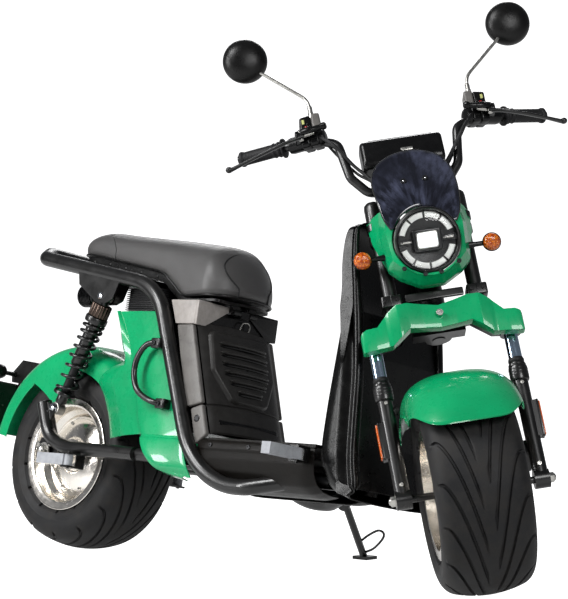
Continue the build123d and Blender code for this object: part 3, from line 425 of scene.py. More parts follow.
# ---------------------------------------------------------------- finishes
class Finish:
    """A material under construction: its shader, and short ways to add procedural nodes."""

    def __init__(self, name, colour, metallic=0.0, roughness=0.5, **sockets):
        self.material = bpy.data.materials.new(name)
        self.material.use_nodes = True
        self.tree = self.material.node_tree
        self.shader = self.tree.nodes["Principled BSDF"]
        self.shader.inputs["Base Color"].default_value = (*colour, 1)
        self.shader.inputs["Metallic"].default_value = metallic
        self.shader.inputs["Roughness"].default_value = roughness
        for socket, value in sockets.items():
            self.shader.inputs[socket.replace("_", " ").title().replace("Ior", "IOR")].default_value = value
        self.height = None

    def node(self, kind, **settings):
        """A node with its settings and input values."""
        node = self.tree.nodes.new(kind)
        for key, value in settings.items():
            if key in node.inputs:
                node.inputs[key].default_value = value
            else:
                setattr(node, key, value)
        return node

    def link(self, start, end):
        self.tree.links.new(start, end)
        return end

    def space(self, scale=(1, 1, 1), uv=False):
        """Object coordinates, or the piece's own UV map, stretched by a scale."""
        source = self.node("ShaderNodeTexCoord").outputs["UV" if uv else "Object"]
        mapping = self.node("ShaderNodeMapping")
        mapping.inputs["Scale"].default_value = scale
        self.link(source, mapping.inputs["Vector"])
        return mapping.outputs["Vector"]

    def noise(self, scale, detail=3.0, roughness=0.55, stretch=(1, 1, 1), uv=False):
        """Soft random values round one half."""
        node = self.node("ShaderNodeTexNoise")
        node.inputs["Scale"].default_value = scale
        node.inputs["Detail"].default_value = detail
        node.inputs["Roughness"].default_value = roughness
        self.link(self.space(stretch, uv), node.inputs["Vector"])
        return node.outputs["Fac"]

    def cells(self, scale, feature="DISTANCE_TO_EDGE", stretch=(1, 1, 1), uv=False):
        """Irregular cells, by the distance to their edges."""
        node = self.node("ShaderNodeTexVoronoi", feature=feature)
        node.inputs["Scale"].default_value = scale
        self.link(self.space(stretch, uv), node.inputs["Vector"])
        return node.outputs["Distance"]

    def fitted(self, value, low, high, to_low=0.0, to_high=1.0):
        """The value's range low to high, mapped to another range."""
        node = self.node("ShaderNodeMapRange")
        self.link(value, node.inputs["Value"])
        for name, number in zip(("From Min", "From Max", "To Min", "To Max"), (low, high, to_low, to_high)):
            node.inputs[name].default_value = number
        return node.outputs["Result"]

    def maths(self, operation, first, second):
        """Two values combined."""
        node = self.node("ShaderNodeMath", operation=operation)
        for socket, value in zip(node.inputs, (first, second)):
            if isinstance(value, (int, float)):
                socket.default_value = value
            else:
                self.link(value, socket)
        return node.outputs["Value"]

    def tinted(self, value, first, second):
        """Base colour that goes from the first to the second colour with a value."""
        node = self.node("ShaderNodeMix", data_type="RGBA")
        self.link(value, node.inputs["Factor"])
        node.inputs["A"].default_value = (*first, 1)
        node.inputs["B"].default_value = (*second, 1)
        node.inputs[6].default_value = (*first, 1)
        node.inputs[7].default_value = (*second, 1)
        self.link(node.outputs[2], self.shader.inputs["Base Color"])

    def uneven(self, value, low, high, to_low, to_high):
        """Roughness that varies with a value."""
        self.link(self.fitted(value, low, high, to_low, to_high), self.shader.inputs["Roughness"])

    def bumped(self, value, distance, strength=1.0):
        """Adds a height to the surface's bump, in metres from black to white."""
        bump = self.node("ShaderNodeBump")
        bump.inputs["Distance"].default_value = distance
        bump.inputs["Strength"].default_value = strength
        self.link(value, bump.inputs["Height"])
        if self.height is not None:
            self.link(self.height, bump.inputs["Normal"])
        self.height = bump.outputs["Normal"]
        self.link(self.height, self.shader.inputs["Normal"])


def shade(colour, share):
    """The colour times a share."""
    return tuple(min(1.0, c * share) for c in colour)


def gloss_paint(name, colour, flake=0.0):
    """Body paint: a coloured base with faint flake and haze under a clear coat."""
    look = Finish(name, colour, 0.0, 0.26, specular_ior_level=0.25, coat_weight=0.55, coat_roughness=0.045)
    haze = look.noise(7.0, 4.0)
    look.tinted(look.fitted(haze, 0.35, 0.65), shade(colour, 0.90), shade(colour, 1.10))
    look.uneven(look.noise(60.0, 2.0), 0.3, 0.7, 0.24, 0.34)
    look.bumped(look.noise(320.0, 2.0), 0.00003, 0.35)
    if flake:
        look.bumped(look.cells(2600.0, "F1"), 0.00002, flake)
    return look.material


def frame_paint(name, colour):
    """Black frame paint with orange peel and a lighter dust haze in patches."""
    look = Finish(name, colour, 0.0, 0.30, specular_ior_level=0.42, coat_weight=0.20, coat_roughness=0.10)
    dust = look.noise(16.0, 5.0, 0.65)
    look.tinted(look.fitted(dust, 0.45, 0.8), colour, (0.0075, 0.0070, 0.0064))
    look.uneven(look.noise(28.0, 4.0), 0.3, 0.75, 0.26, 0.42)
    look.bumped(look.noise(240.0, 2.0), 0.00006, 0.4)
    return look.material


def moulded(name, colour, roughness=0.42, grain=0.00005, cells=1100.0, level=0.22):
    """Moulded plastic with a fine leather-like grain and slight scuffing."""
    look = Finish(name, colour, 0.0, roughness, specular_ior_level=level)
    scuff = look.noise(34.0, 6.0, 0.7)
    look.tinted(look.fitted(scuff, 0.35, 0.75), shade(colour, 0.85), shade(colour, 1.30))
    look.uneven(scuff, 0.3, 0.75, roughness - 0.07, roughness + 0.10)
    look.bumped(look.fitted(look.cells(cells), 0.0, 0.12), grain, 0.6)
    return look.material


def seat_cover(name, colour):
    """Grained vinyl: pebbles with fine creases between them, and a soft sheen."""
    look = Finish(name, colour, 0.0, 0.40, sheen_weight=0.08, specular_ior_level=0.55)
    pebble = look.cells(430.0)
    crease = look.cells(170.0)
    tone = look.noise(9.0, 4.0)
    look.tinted(look.fitted(tone, 0.3, 0.7), shade(colour, 0.80), shade(colour, 1.25))
    look.uneven(look.fitted(pebble, 0.0, 0.10), 0.0, 1.0, 0.50, 0.36)
    look.bumped(look.fitted(pebble, 0.0, 0.11), 0.00022, 0.75)
    look.bumped(look.fitted(crease, 0.0, 0.05), 0.00016, 0.4)
    look.bumped(look.noise(26.0, 3.0), 0.0012, 0.35)
    return look.material


def tyre_compound(name):
    """Tyre rubber: dusty in patches, finely pitted."""
    look = Finish(name, (0.008, 0.008, 0.0085), 0.0, 0.58, specular_ior_level=0.26)
    dust = look.noise(21.0, 6.0, 0.7)
    look.tinted(look.fitted(dust, 0.42, 0.78), (0.0060, 0.0060, 0.0066), (0.022, 0.020, 0.018))
    look.uneven(dust, 0.3, 0.7, 0.50, 0.74)
    look.bumped(look.noise(900.0, 2.0), 0.00009, 0.5)
    look.bumped(look.noise(130.0, 3.0), 0.00018, 0.3)
    return look.material


def bright_metal(name, colour, roughness=0.16, brushed=(1, 1, 1), stain=0.25):
    """Polished or cast metal with fine brushing, water marks and a dulled skin."""
    look = Finish(name, colour, 1.0, roughness)
    mark = look.noise(19.0, 6.0, 0.65)
    look.tinted(look.fitted(mark, 0.38, 0.75), colour, shade(colour, 1.0 - stain))
    look.uneven(look.noise(90.0, 4.0, 0.6, brushed), 0.25, 0.75, roughness * 0.7, roughness * 1.5)
    look.bumped(look.noise(420.0, 3.0, 0.6, brushed), 0.00003, 0.5)
    return look.material


def soft_rubber(name, colour=(0.0060, 0.0060, 0.0065)):
    """Grip and boot rubber."""
    look = Finish(name, colour, 0.0, 0.55, specular_ior_level=0.24)
    dust = look.noise(40.0, 5.0, 0.6)
    look.tinted(look.fitted(dust, 0.4, 0.75), colour, shade(colour, 2.0))
    look.bumped(look.noise(700.0, 2.0), 0.0001, 0.5)
    return look.material


def lens(name, colour, roughness=0.05, ripple=0.0, transmission=1.0, alpha=1.0):
    """Clear moulded lens or screen, with faint swirl marks."""
    look = Finish(name, colour, 0.0, roughness, transmission_weight=transmission, ior=1.49, coat_weight=0.4,
                  coat_roughness=0.03, alpha=alpha)
    look.uneven(look.noise(55.0, 4.0), 0.3, 0.8, roughness, roughness * 2.2)
    if ripple:
        look.bumped(look.noise(160.0, 1.0), ripple, 0.5)
    return look.material


def faceted_lens(name, colour):
    """A signal's lens: small prisms behind its face, with painted glints: the prisms are coloured a little lighter or
    darker one from the next.
    """
    look = Finish(name, colour, 0.0, 0.12, transmission_weight=0.25, ior=1.49, coat_weight=0.4, coat_roughness=0.03)
    prism_and_glint = look.cells(190.0, "F1")
    # Painted glints: the cells' colour goes lighter and darker in place of light caught by the facets; the bump gives
    # the prisms their shape.
    look.tinted(look.fitted(prism_and_glint, 0.1, 0.75), shade(colour, 1.35), shade((0.42, 0.05, 0.0), 1.0))
    look.bumped(look.fitted(prism_and_glint, 0.0, 0.8), 0.0022, 0.9)
    return look.material


def streaked_screen(name, dark, light):
    """A near-black screen with painted reflections: blue-grey streaks up it, in broad clouds."""
    look = Finish(name, dark, 0.0, 0.05, transmission_weight=0.0, coat_weight=0.5, coat_roughness=0.03)
    reflection_streak = look.fitted(look.noise(15.0, 5.0, 0.62, (1, 0.13, 1), True), 0.42, 0.66)
    reflection_cloud = look.fitted(look.noise(3.2, 2.0, 0.5, (1, 0.5, 1), True), 0.34, 0.60)
    # The blue-grey streaks and clouds are painted reflections in the base colour.
    look.tinted(look.maths("MULTIPLY", reflection_streak, reflection_cloud), dark, light)
    look.uneven(look.noise(55.0, 4.0), 0.3, 0.8, 0.04, 0.10)
    look.bumped(look.noise(160.0, 1.0), 0.00001, 0.3)
    return look.material


def glowing(name, colour, strength):
    """A lit segment's diffuser, and the projector's glass, whose glow is a painted highlight."""
    look = Finish(name, colour, 0.0, 0.35)
    look.shader.inputs["Emission Color"].default_value = (*colour, 1)
    look.shader.inputs["Emission Strength"].default_value = strength
    look.tinted(look.fitted(look.noise(900.0, 2.0), 0.3, 0.7), shade(colour, 0.9), colour)
    look.bumped(look.noise(1300.0, 1.0), 0.00006, 0.4)
    return look.material


def display_glass(name):
    """The dash window: near black, glossy, with faint smears."""
    look = Finish(name, (0.006, 0.007, 0.009), 0.0, 0.07, coat_weight=1.0, coat_roughness=0.02)
    look.uneven(look.noise(25.0, 5.0), 0.4, 0.8, 0.05, 0.16)
    look.bumped(look.noise(500.0, 1.0), 0.00001, 0.3)
    return look.material


LOOKS = {}


def make_looks(colours):
    """All the machine's finishes, by name."""
    LOOKS.update(
        green=gloss_paint("Green_paint", colours.body_green, 0.15),
        black=frame_paint("Frame_black", colours.frame_black),
        gloss_black=frame_paint("Gloss_black", (0.0018, 0.0018, 0.0020)),
        plastic=moulded("Body_plastic", (0.0042, 0.0041, 0.0040), 0.30),
        floor_plastic=moulded("Floor_plastic", (0.0052, 0.0044, 0.0036), 0.34, 0.0001, 700.0, 0.14),
        shield_plastic=moulded("Shield_plastic", (0.0022, 0.0021, 0.0020), 0.24, 0.00004, 900.0, 0.20),
        smooth_plastic=moulded("Satin_plastic", (0.0035, 0.0035, 0.0037), 0.22, 0.00002, 1500.0),
        panel=moulded("Panel_plastic", (0.020, 0.019, 0.018), 0.34, 0.00004, 1100.0),
        # A mid grey that paints the sheen of light on black plastic: the column's side strips and the switch box's
        # inner housing.
        warm_grey=moulded("Grey_trim_painted_sheen", (0.115, 0.109, 0.103), 0.32),
        # A pale grey that paints the light falling on the tub's corner and on the right shoulder beside the recess.
        pale_grey=moulded("Pale_trim_painted_light", (0.27, 0.25, 0.235), 0.36),
        fins=moulded("Controller_fins", (0.018, 0.018, 0.019), 0.40),
        brown=bright_metal("Shock_cap", (0.075, 0.055, 0.045), 0.34, (1, 1, 1), 0.35),
        gold=bright_metal("Shock_bush", (0.16, 0.10, 0.045), 0.32, (1, 1, 1), 0.35),
        bolt_black=bright_metal("Black_bolt", (0.05, 0.05, 0.052), 0.30),
        seat=seat_cover("Seat_cover", colours.seat_grey),
        welt=soft_rubber("Seat_welt", (0.008, 0.008, 0.008)),
        thread=soft_rubber("Seat_thread", (0.10, 0.10, 0.105)),
        tyre=tyre_compound("Tyre_rubber"),
        rubber=soft_rubber("Grip_rubber"),
        key=moulded("Button_yellow", (0.42, 0.44, 0.16), 0.40),
        rim=bright_metal("Rim_alloy", (0.82, 0.78, 0.72), 0.20, (1, 1, 1), 0.14),
        cast=bright_metal("Cast_alloy", (0.40, 0.39, 0.37), 0.34, (1, 1, 1), 0.35),
        chrome=bright_metal("Chrome", (0.72, 0.74, 0.77), 0.06, (1, 1, 1), 0.10),
        zinc=bright_metal("Zinc_bolt", (0.48, 0.47, 0.44), 0.28),
        slider=bright_metal("Slider_tube", (0.50, 0.64, 0.80), 0.11, (1, 1, 0.1), 0.12),
        peg=moulded("Peg_alloy", (0.30, 0.31, 0.33), 0.35),
        amber=faceted_lens("Amber_lens", colours.amber),
        reflector=lens("Amber_reflector", (0.75, 0.13, 0.01), 0.16, 0.0, 0.2),
        red=lens("Red_lens", (0.45, 0.01, 0.01), 0.10, 0.0, 0.4),
        clear=lens("Clear_lens", (0.95, 0.97, 0.98), 0.02, 0.00002, 1.0, 0.22),
        smoked=streaked_screen("Smoked_screen", (0.0035, 0.0040, 0.0085), (0.050, 0.056, 0.092)),
        segment=glowing("Lamp_segment", (0.72, 0.73, 0.70), 0.18),
        # The projector's glass glows as a painted highlight.
        projector=glowing("Projector_glass_painted_highlight", (0.88, 0.92, 0.93), 0.60),
        display=display_glass("Dash_display"),
        mirror=bright_metal("Mirror_silver", (0.85, 0.86, 0.87), 0.02, (1, 1, 1), 0.04),
    )
    return LOOKS


# ---------------------------------------------------------------- pieces kept from the frame
KEPT_LOOKS = {
    "main_frame": "black",
    "swingarm": "black",
    "peg_brackets": "black",
    "battery_tub": "smooth_plastic",
    "battery": "smooth_plastic",
    "controller": "cast",
    "seat_base": "plastic",
    "shield_cover": "plastic",
    "tail_bracket": "black",
    "fork_crown": "black",
    "fork_legs": "black",
    "top_clamp": "black",
    "handlebar": "gloss_black",
    "side_stand": "black",
    "rear_shocks": "gloss_black",
    "side_handles": "black",
    "fork_stanchions": "slider",
    "front_peg_left": "peg",
    "front_peg_right": "peg",
    "rear_peg_left": "peg",
    "rear_peg_right": "peg",
    "front_rim": "rim",
    "rear_rim": "rim",
    "rear_tyre": "tyre",
    "front_tyre": "tyre",
    "seat_cushion": "seat",
    "rear_fender": "green",
    "front_fender": "green",
    "side_panels": "green",
    "headlight_shroud": "green",
    "crown_cover": "green",
    "column_front_panel": "plastic",
    "column_side_covers": "plastic",
    "belly_covers": "floor_plastic",
    "floor_board": "floor_plastic",
    "leg_shield": "plastic",
    "switch_boxes": "smooth_plastic",
    "mirrors": "smooth_plastic",
    "headlight": "smooth_plastic",
    "headlight_lens": "clear",
    "dash": "smooth_plastic",
    "tail_lamp": "red",
    "windscreen": "smoked",
    "front_signals": "amber",
    "rear_signals": "amber",
    "grips": "rubber",
    "brake_levers": "gloss_black",
}


def dress_frame():
    """Gives every CAD node that stays its finish."""
    for node, piece in frame["nodes"].items():
        look = LOOKS[KEPT_LOOKS.get(node, "plastic")]
        piece.data.materials.clear()
        piece.data.materials.append(look)


# ---------------------------------------------------------------- wheels
TYRE_WIDTH = 0.205
CROWN_RADIUS = 0.240
SHOULDER_RADIUS = 0.040
BEAD = (0.0875, 0.1425)            # where the tyre meets the rim: across, and out from the axle
TREAD_EDGE = 0.089                 # where a groove turns off sideways
TREAD_MIDDLE = 0.010               # where a groove runs out
GROOVE_SWEEP = math.radians(65)

# Local Z of a turned shape laid along the axle.
ON_AXLE = basis((0, 0, 0), (0, 0, 1), (1, 0, 0), (0, 1, 0))


def tyre_half():
    """Half of the tyre's outside, from the middle of the tread to the bead, as (y, radius).

    A wide arc for the tread, a quarter-like arc for the shoulder and a quadratic curve for the side.
    """
    shoulder_y = TYRE_WIDTH / 2 - SHOULDER_RADIUS
    tilt = math.asin(shoulder_y / (CROWN_RADIUS - SHOULDER_RADIUS))
    centre = AXLE_HEIGHT - CROWN_RADIUS
    turn = centre + (CROWN_RADIUS - SHOULDER_RADIUS) * math.cos(tilt)
    a = np.linspace(0, tilt, 27)
    tread = np.column_stack([CROWN_RADIUS * np.sin(a), centre + CROWN_RADIUS * np.cos(a)])
    a = np.linspace(tilt, math.pi / 2, 14)[1:]
    shoulder = np.column_stack([shoulder_y + SHOULDER_RADIUS * np.sin(a), turn + SHOULDER_RADIUS * np.cos(a)])
    t = np.linspace(0, 1, 22)[1:, None]
    wide, bead = shoulder[-1], np.array(BEAD)
    side = (1 - t) ** 2 * wide + 2 * t * (1 - t) * np.array((wide[0] + 0.001, bead[1] + 0.015)) + t ** 2 * bead
    rib = 0.0012 * (np.exp(-((side[:, 1] - 0.153) / 0.0016) ** 2) + np.exp(-((side[:, 1] - 0.171) / 0.0012) ** 2))
    side[:, 0] += rib
    return np.concatenate([tread, shoulder, side])


def smooth_step(value, low, high):
    """0 below low, 1 above high, and 3 t^2 - 2 t^3 between them."""
    t = np.clip((value - low) / (high - low), 0, 1)
    return t * t * (3 - 2 * t)


def tyre(sizes):
    """The tyre with V grooves, two sides half a pitch apart.

    A groove's middle lies at angle k pitch + sweep s^1.55, where s runs from 0 at the shoulder to 1
    near the middle, so it leaves the shoulder sideways and bends round towards the middle line. The
    columns of the grid follow the grooves: six stand in each groove and six on each rib.
    """
    half = tyre_half()
    line = np.concatenate([half[:0:-1] * (-1, 1), half])
    y, radius = line[:, 0], line[:, 1]
    share = np.clip((TREAD_EDGE - np.abs(y)) / (TREAD_EDGE - TREAD_MIDDLE), 0, 1)
    sweep = GROOVE_SWEEP * share ** 1.55
    slope = GROOVE_SWEEP * 1.55 * share ** 0.55 / (TREAD_EDGE - TREAD_MIDDLE) * radius
    pitch = 2 * math.pi / sizes.groove_count
    wide = np.minimum(sizes.groove_width / 2 * np.sqrt(1 + slope ** 2) / radius, 0.20 * pitch)[:, None]
    own = np.array([-1.0, -0.74, -0.5, 0.5, 0.74, 1.0])
    even = np.arange(1, 7) / 7
    left = np.concatenate([own * wide, wide + (pitch - 2 * wide) * even], axis=1)
    right = np.concatenate([-pitch / 2 + wide + (pitch - 2 * wide) * even, pitch / 2 + own * wide], axis=1)
    blend = smooth_step(y, -0.008, 0.008)[:, None]
    columns = (1 - blend) * left + blend * right
    deep = np.array([0, 0.8, 1, 1, 0.8, 0])
    flat = np.zeros(6)
    sunk = np.where(y[:, None] < 0, np.concatenate([deep, flat]), np.concatenate([flat, deep]))
    fade = smooth_step(np.abs(y), TREAD_MIDDLE - 0.002, TREAD_MIDDLE + 0.006)
    fade *= 1 - smooth_step(np.abs(y), TREAD_EDGE + 0.003, TREAD_EDGE + 0.009)
    drop = np.tile(sunk * fade[:, None] * sizes.groove_depth, (1, sizes.groove_count))
    starts = np.repeat(np.arange(sizes.groove_count) * pitch, 12)
    angle = np.tile(columns, (1, sizes.groove_count)) + starts + sweep[:, None]
    # A groove sinks along the carcass's own normal.
    along = unit(np.gradient(line, axis=0))
    normal = np.column_stack([-along[:, 1], along[:, 0]])
    across = y[:, None] - drop * normal[:, :1]
    out = radius[:, None] - drop * normal[:, 1:]
    points = np.stack([out * np.sin(angle), across, out * np.cos(angle)], axis=-1)
    v = np.linspace(0, 1, len(y))[:, None] + 0 * angle
    outside = grid(points, wrap_u=True, uv=np.stack([angle / math.pi, v], axis=-1))
    inner = half[::-6] * (1, 1) - np.array((0.012, 0.010))
    inner = np.concatenate([[half[-1] - (0.004, 0.004)], inner[1:] * (0.97, 0.985)])
    inner = np.concatenate([inner, inner[::-1] * (-1, 1)])
    wheel = np.linspace(0, 2 * math.pi, 96, endpoint=False)
    ring = [inner[:, 1:] * np.sin(wheel), inner[:, :1] + 0 * wheel, inner[:, 1:] * np.cos(wheel)]
    inside = grid(np.stack(ring, axis=-1), wrap_u=True)
    return [outside, inside]


def rim_barrel():
    """The rim's section turned about the axle: rolled lips, bead seats and a dropped well."""
    half = [(0.110, 0), (0.110, 0.040), (0.127, 0.056), (0.1270, 0.0865), (0.1405, 0.0880), (0.1440, 0.0915),
            (0.1430, 0.0940), (0.1390, 0.0940), (0.1270, 0.0925), (0.1215, 0.0900), (0.1200, 0.060), (0.1040, 0.044),
            (0.1040, 0)]
    half = np.array(half)
    loop = np.concatenate([half[1:-1], (half * (1, -1))[-2:0:-1]])
    return turned(eased(loop, 0.0028, 4), 96, closed=True).carried(ON_AXLE)


def motor_cover(side):
    """The hub motor's domed cover on one side, with its seam ring, bolts and axle boss."""
    dome = [(0.1043, 0.020), (0.1043, 0.046), (0.1030, 0.0500), (0.0990, 0.0525), (0.0975, 0.0515), (0.0960, 0.0530),
            (0.080, 0.0590), (0.0600, 0.0640), (0.0480, 0.0660), (0.0455, 0.0710), (0.0400, 0.0770), (0.0260, 0.0790),
            (0.0245, 0.0900), (0.0140, 0.0915), (0.0086, 0.0915)]
    parts = [turned(np.array(dome), 96)]
    for step in range(8):
        turn = math.radians(45 * step + 20)
        spot = basis((0.088 * math.cos(turn), 0.088 * math.sin(turn), 0.0565), (1, 0, 0), (0, 1, 0), (0, 0, 1))
        parts.append(screw(spot, 0.0042, 0.0030, 1))
    flip = np.diag((1.0, -1.0, -1.0, 1.0)) if side < 0 else np.eye(4)
    return [p.carried(ON_AXLE @ flip) for p in parts]


def make_wheels(sizes):
    """Grooved tyres, and the rear rim with its hub motor."""
    for name, body, where in (("rear", "rear_wheel", REAR_WHEEL), ("front", "front_wheel", FRONT_WHEEL)):
        build(f"{name}_tyre_tread", tyre(sizes), LOOKS["tyre"], body, where, f"{name}_tyre", auto=50)
    for name, body, where in (("rear", "rear_wheel", REAR_WHEEL),):
        covers = motor_cover(1) + motor_cover(-1)
        disc = [(0.084, 0.0925), (0.084, 0.0960), (0.046, 0.0960), (0.046, 0.0925)]
        disc = turned(eased(disc, 0.0005, 3), 72, 2, closed=True).carried(ON_AXLE)
        patches = [rim_barrel(), *covers, disc]
        build(f"{name}_rim_turned", patches, [LOOKS["rim"], LOOKS["zinc"], LOOKS["cast"]], body, where,
              f"{name}_rim", auto=30)


# ---------------------------------------------------------------- seat
SEAT_HALF = 0.113
SEAT_TAIL = (0.015, 0.077)         # centre and length of the rounded tail
SEAT_NOSE = (0.430, 0.078)         # centre and length of the rounded nose
SEAT_SQUARENESS = 3.3
SEAT_EDGE = 0.015                  # height of the tucked lower edge
SEAT_TOP = np.array([(-0.062, 0.768), (-0.052, 0.794), (-0.020, 0.808), (0.040, 0.809), (0.101, 0.801), (0.200, 0.792),
                     (0.287, 0.785), (0.342, 0.780), (0.400, 0.774), (0.443, 0.768), (0.470, 0.755), (0.490, 0.735),
                     (0.503, 0.709), (0.508, 0.680)])
SEAT_UNDER = np.array([(-0.062, 0.747), (0.032, 0.739), (0.101, 0.727), (0.271, 0.697), (0.310, 0.677), (0.344, 0.652),
                       (0.368, 0.637), (0.400, 0.637), (0.508, 0.643)])


def seat_height(x, share):
    """Height of the cover at x, where share runs from 0 on the middle line to 1 at the rim.

    It is a superellipse: lowest + (top - lowest)(1 - share^n)^(1/n), where n falls by about one at both ends.
    """
    top = curved(SEAT_TOP, 200)
    low = curved(SEAT_UNDER, 200)
    high = np.interp(x, top[:, 0], top[:, 1])
    low = np.interp(x, low[:, 0], low[:, 1]) + SEAT_EDGE
    share = np.clip(share, 0, 1)
    square = SEAT_SQUARENESS - 1.05 * smooth_step(x, 0.37, 0.48) - 1.0 * smooth_step(-x, -0.06, 0.01)
    return low + np.maximum(high - low, 0.004) * (1 - share ** square) ** (1 / square)


def seat_share(x, y):
    """How far a place is from the seat's middle line, 1 at its rim."""
    past = np.where(x > SEAT_NOSE[0], (x - SEAT_NOSE[0]) / SEAT_NOSE[1], np.minimum(x - SEAT_TAIL[0], 0) / SEAT_TAIL[1])
    return np.sqrt(past ** 2 + (y / SEAT_HALF) ** 2)


def seat_rim(count):
    """Round the seat once: a point on the middle line and the reach from it to the rim."""
    turn = np.linspace(-math.pi / 2, math.pi / 2, count)
    run = np.linspace(0, 1, count + 2)[1:-1]
    nose = np.column_stack([0 * turn + SEAT_NOSE[0], SEAT_NOSE[1] * np.cos(turn), SEAT_HALF * np.sin(turn)])
    left = np.column_stack([SEAT_NOSE[0] + (SEAT_TAIL[0] - SEAT_NOSE[0]) * run, 0 * run, 0 * run + SEAT_HALF])
    tail = np.column_stack([0 * turn + SEAT_TAIL[0], -SEAT_TAIL[1] * np.cos(turn), -SEAT_HALF * np.sin(turn)])
    right = left[::-1] * (1, 1, -1)
    return np.concatenate([nose, left, tail, right])


def cushion_surface(sizes):
    """The cushion's surface: rings from the underside, round the tucked edge and over the top.

    Ring k has its points at middle + share_k * reach, on the height that seat_height gives.
    """
    rim = seat_rim(56)
    lift = np.linspace(0.02, math.pi / 2, 34)
    share = np.concatenate([[0.05, 0.6, 0.90, 0.955, 0.985, 1.0], np.cos(lift) ** (2 / SEAT_SQUARENESS)])
    share[-1] = 0.0
    x = rim[None, :, 0] + share[:, None] * rim[None, :, 1]
    y = share[:, None] * rim[None, :, 2]
    z = seat_height(x, share[:, None] + 0 * x)
    base = z[5] - SEAT_EDGE
    tuck = np.array([0.003, 0.001, 0.0, 0.0015, 0.006, SEAT_EDGE])
    z[:6] = base[None] + tuck[:, None]
    low = curved(SEAT_UNDER, 200)
    z[:3] = np.interp(x[:3], low[:, 0], low[:, 1]) + tuck[:3, None]
    z[6:] += sizes.seat_crown * 0.25 * (1 - share[6:, None] ** 2) * smooth_step(x[6:], 0.0, 0.1)
    return grid(np.stack([x, y, z], axis=-1), wrap_u=True)


NOSE_SEAM = [(0.4990, 0.0522), (0.4965, 0.0570), (0.491, 0.066), (0.483, 0.075), (0.472, 0.081), (0.464, 0.076),
             (0.461, 0.040), (0.460, 0.0)]
TAIL_SEAM = [(0.104, 0.1130), (0.094, 0.1105), (0.070, 0.099), (0.046, 0.085), (0.020, 0.062), (0.004, 0.035),
             (-0.002, 0.0)]


def seam_line(plan, count, lift):
    """A seam over the seat from one side to the other, lifted off the cover."""
    half = curved(plan, 600)
    half = half[(np.linspace(0, 1, 240) ** 2 * 599).astype(int)]
    x, y = half[:, 0], half[:, 1]
    line = np.column_stack([x, y, seat_height(x, seat_share(x, y)) + lift])
    low = curved(SEAT_UNDER, 200)
    foot = [x[0], y[0], float(np.interp(x[0], low[:, 0], low[:, 1])) + 0.002]
    line = np.concatenate([[foot], line])
    return spaced(np.concatenate([line, (line * (1, -1, 1))[-2::-1]]), count)


def stitches(line, length=0.0034, radius=0.00035, finish=0):
    """Short thread loops along a line, each a small flattened bead."""
    count = int(np.linalg.norm(np.diff(line, axis=0), axis=1).sum() / 0.0052)
    spots = spaced(line, count)
    ahead = unit(np.gradient(spots, axis=0))
    parts = []
    for spot, way in zip(spots, ahead):
        path = spot + way * np.linspace(-length / 2, length / 2, 4)[:, None]
        parts.append(pipe(path, radius, 5, finish, scale=(0.5, 1, 1, 0.5)))
    return parts


def pan_skirt():
    """The pan's black rim below the cushion, a band 22 mm deep that follows the plan, with its rivets."""
    rim = seat_rim(40)
    x, y = rim[:, 0] + rim[:, 1] * 0.93, rim[:, 2] * 0.93
    low = curved(SEAT_UNDER, 200)
    under = np.interp(x, low[:, 0], low[:, 1])
    depth = 0.022 * smooth_step(0.40 - x, 0.0, 0.06)
    rows = [np.column_stack([x * (1 - s) + s * (x - rim[:, 1] * 0.03), y, under + 0.004 - s * (depth + 0.004)])
            for s in np.linspace(0, 1, 5)]
    inner = [np.column_stack([rim[:, 0] + rim[:, 1] * 0.5, y * 0.5, under - depth * 0.9])]
    band = grid(np.array(rows[::-1]), wrap_u=True, finish=2)
    floor = grid(np.array(inner + [rows[-1]]), wrap_u=True, finish=2)
    spots = [(0.02, 0.7345), (0.08, 0.7275), (0.14, 0.7175), (0.20, 0.7065), (0.26, 0.6955)]
    rivets = [turned([(0.0045, 0), (0.0042, 0.0012), (0.0020, 0.0020)], 14, 2).carried(
        facing((px, -0.1052, pz - 0.010), (0, -1, 0))) for px, pz in spots]
    return [band, floor] + rivets + [r.across() for r in rivets]


def make_seat(sizes):
    """The cushion as one padded piece, and its welts, stitching and lower trim."""
    cover = build("seat_cushion_cover", cushion_surface(sizes), LOOKS["seat"], "seat", BIKE, "seat_cushion",
                  auto=70)
    nose, tail = seam_line(NOSE_SEAM, 150, 0.0004), seam_line(TAIL_SEAM, 150, 0.0001)
    parts = [pipe(nose, 0.0024, 10), pipe(tail, 0.0011, 8)]
    for line, step in ((nose, 0.0052), (tail, -0.0036)):
        beside = line + (step, 0, 0)
        beside[:, 2] = seat_height(beside[:, 0], seat_share(beside[:, 0], beside[:, 1])) + 0.0001
        parts += stitches(beside[4:-4], finish=1)
    rim = seat_rim(40)
    x, y = rim[:, 0] + rim[:, 1] * 0.985, rim[:, 2] * 0.985
    low = curved(SEAT_UNDER, 200)
    edge = np.column_stack([x, y, np.interp(x, low[:, 0], low[:, 1]) + 0.0005])
    parts.append(pipe(spaced(edge, 180, True), 0.0032, 8, 2, closed=True))
    parts += pan_skirt()
    build("seat_seams", parts, [LOOKS["welt"], LOOKS["thread"], LOOKS["plastic"]], "seat", BIKE, ())


# ---------------------------------------------------------------- painted bodywork
FENDER_WALL = 0.0035
REAR_FENDER = dict(radius=0.286, half=0.117, drop=0.068, start=52, end=171.5)
FRONT_FENDER = dict(radius=0.2615, half=0.1265, drop=0.082, start=38.5, end=143)

# The front axle's frame turned upright, X ahead and level.
FRONT_LEVEL = FRONT_WHEEL @ basis((0, 0, 0), (math.cos(math.radians(RAKE)), 0, -math.sin(math.radians(RAKE))),
                                  (0, 1, 0), (math.sin(math.radians(RAKE)), 0, math.cos(math.radians(RAKE))))


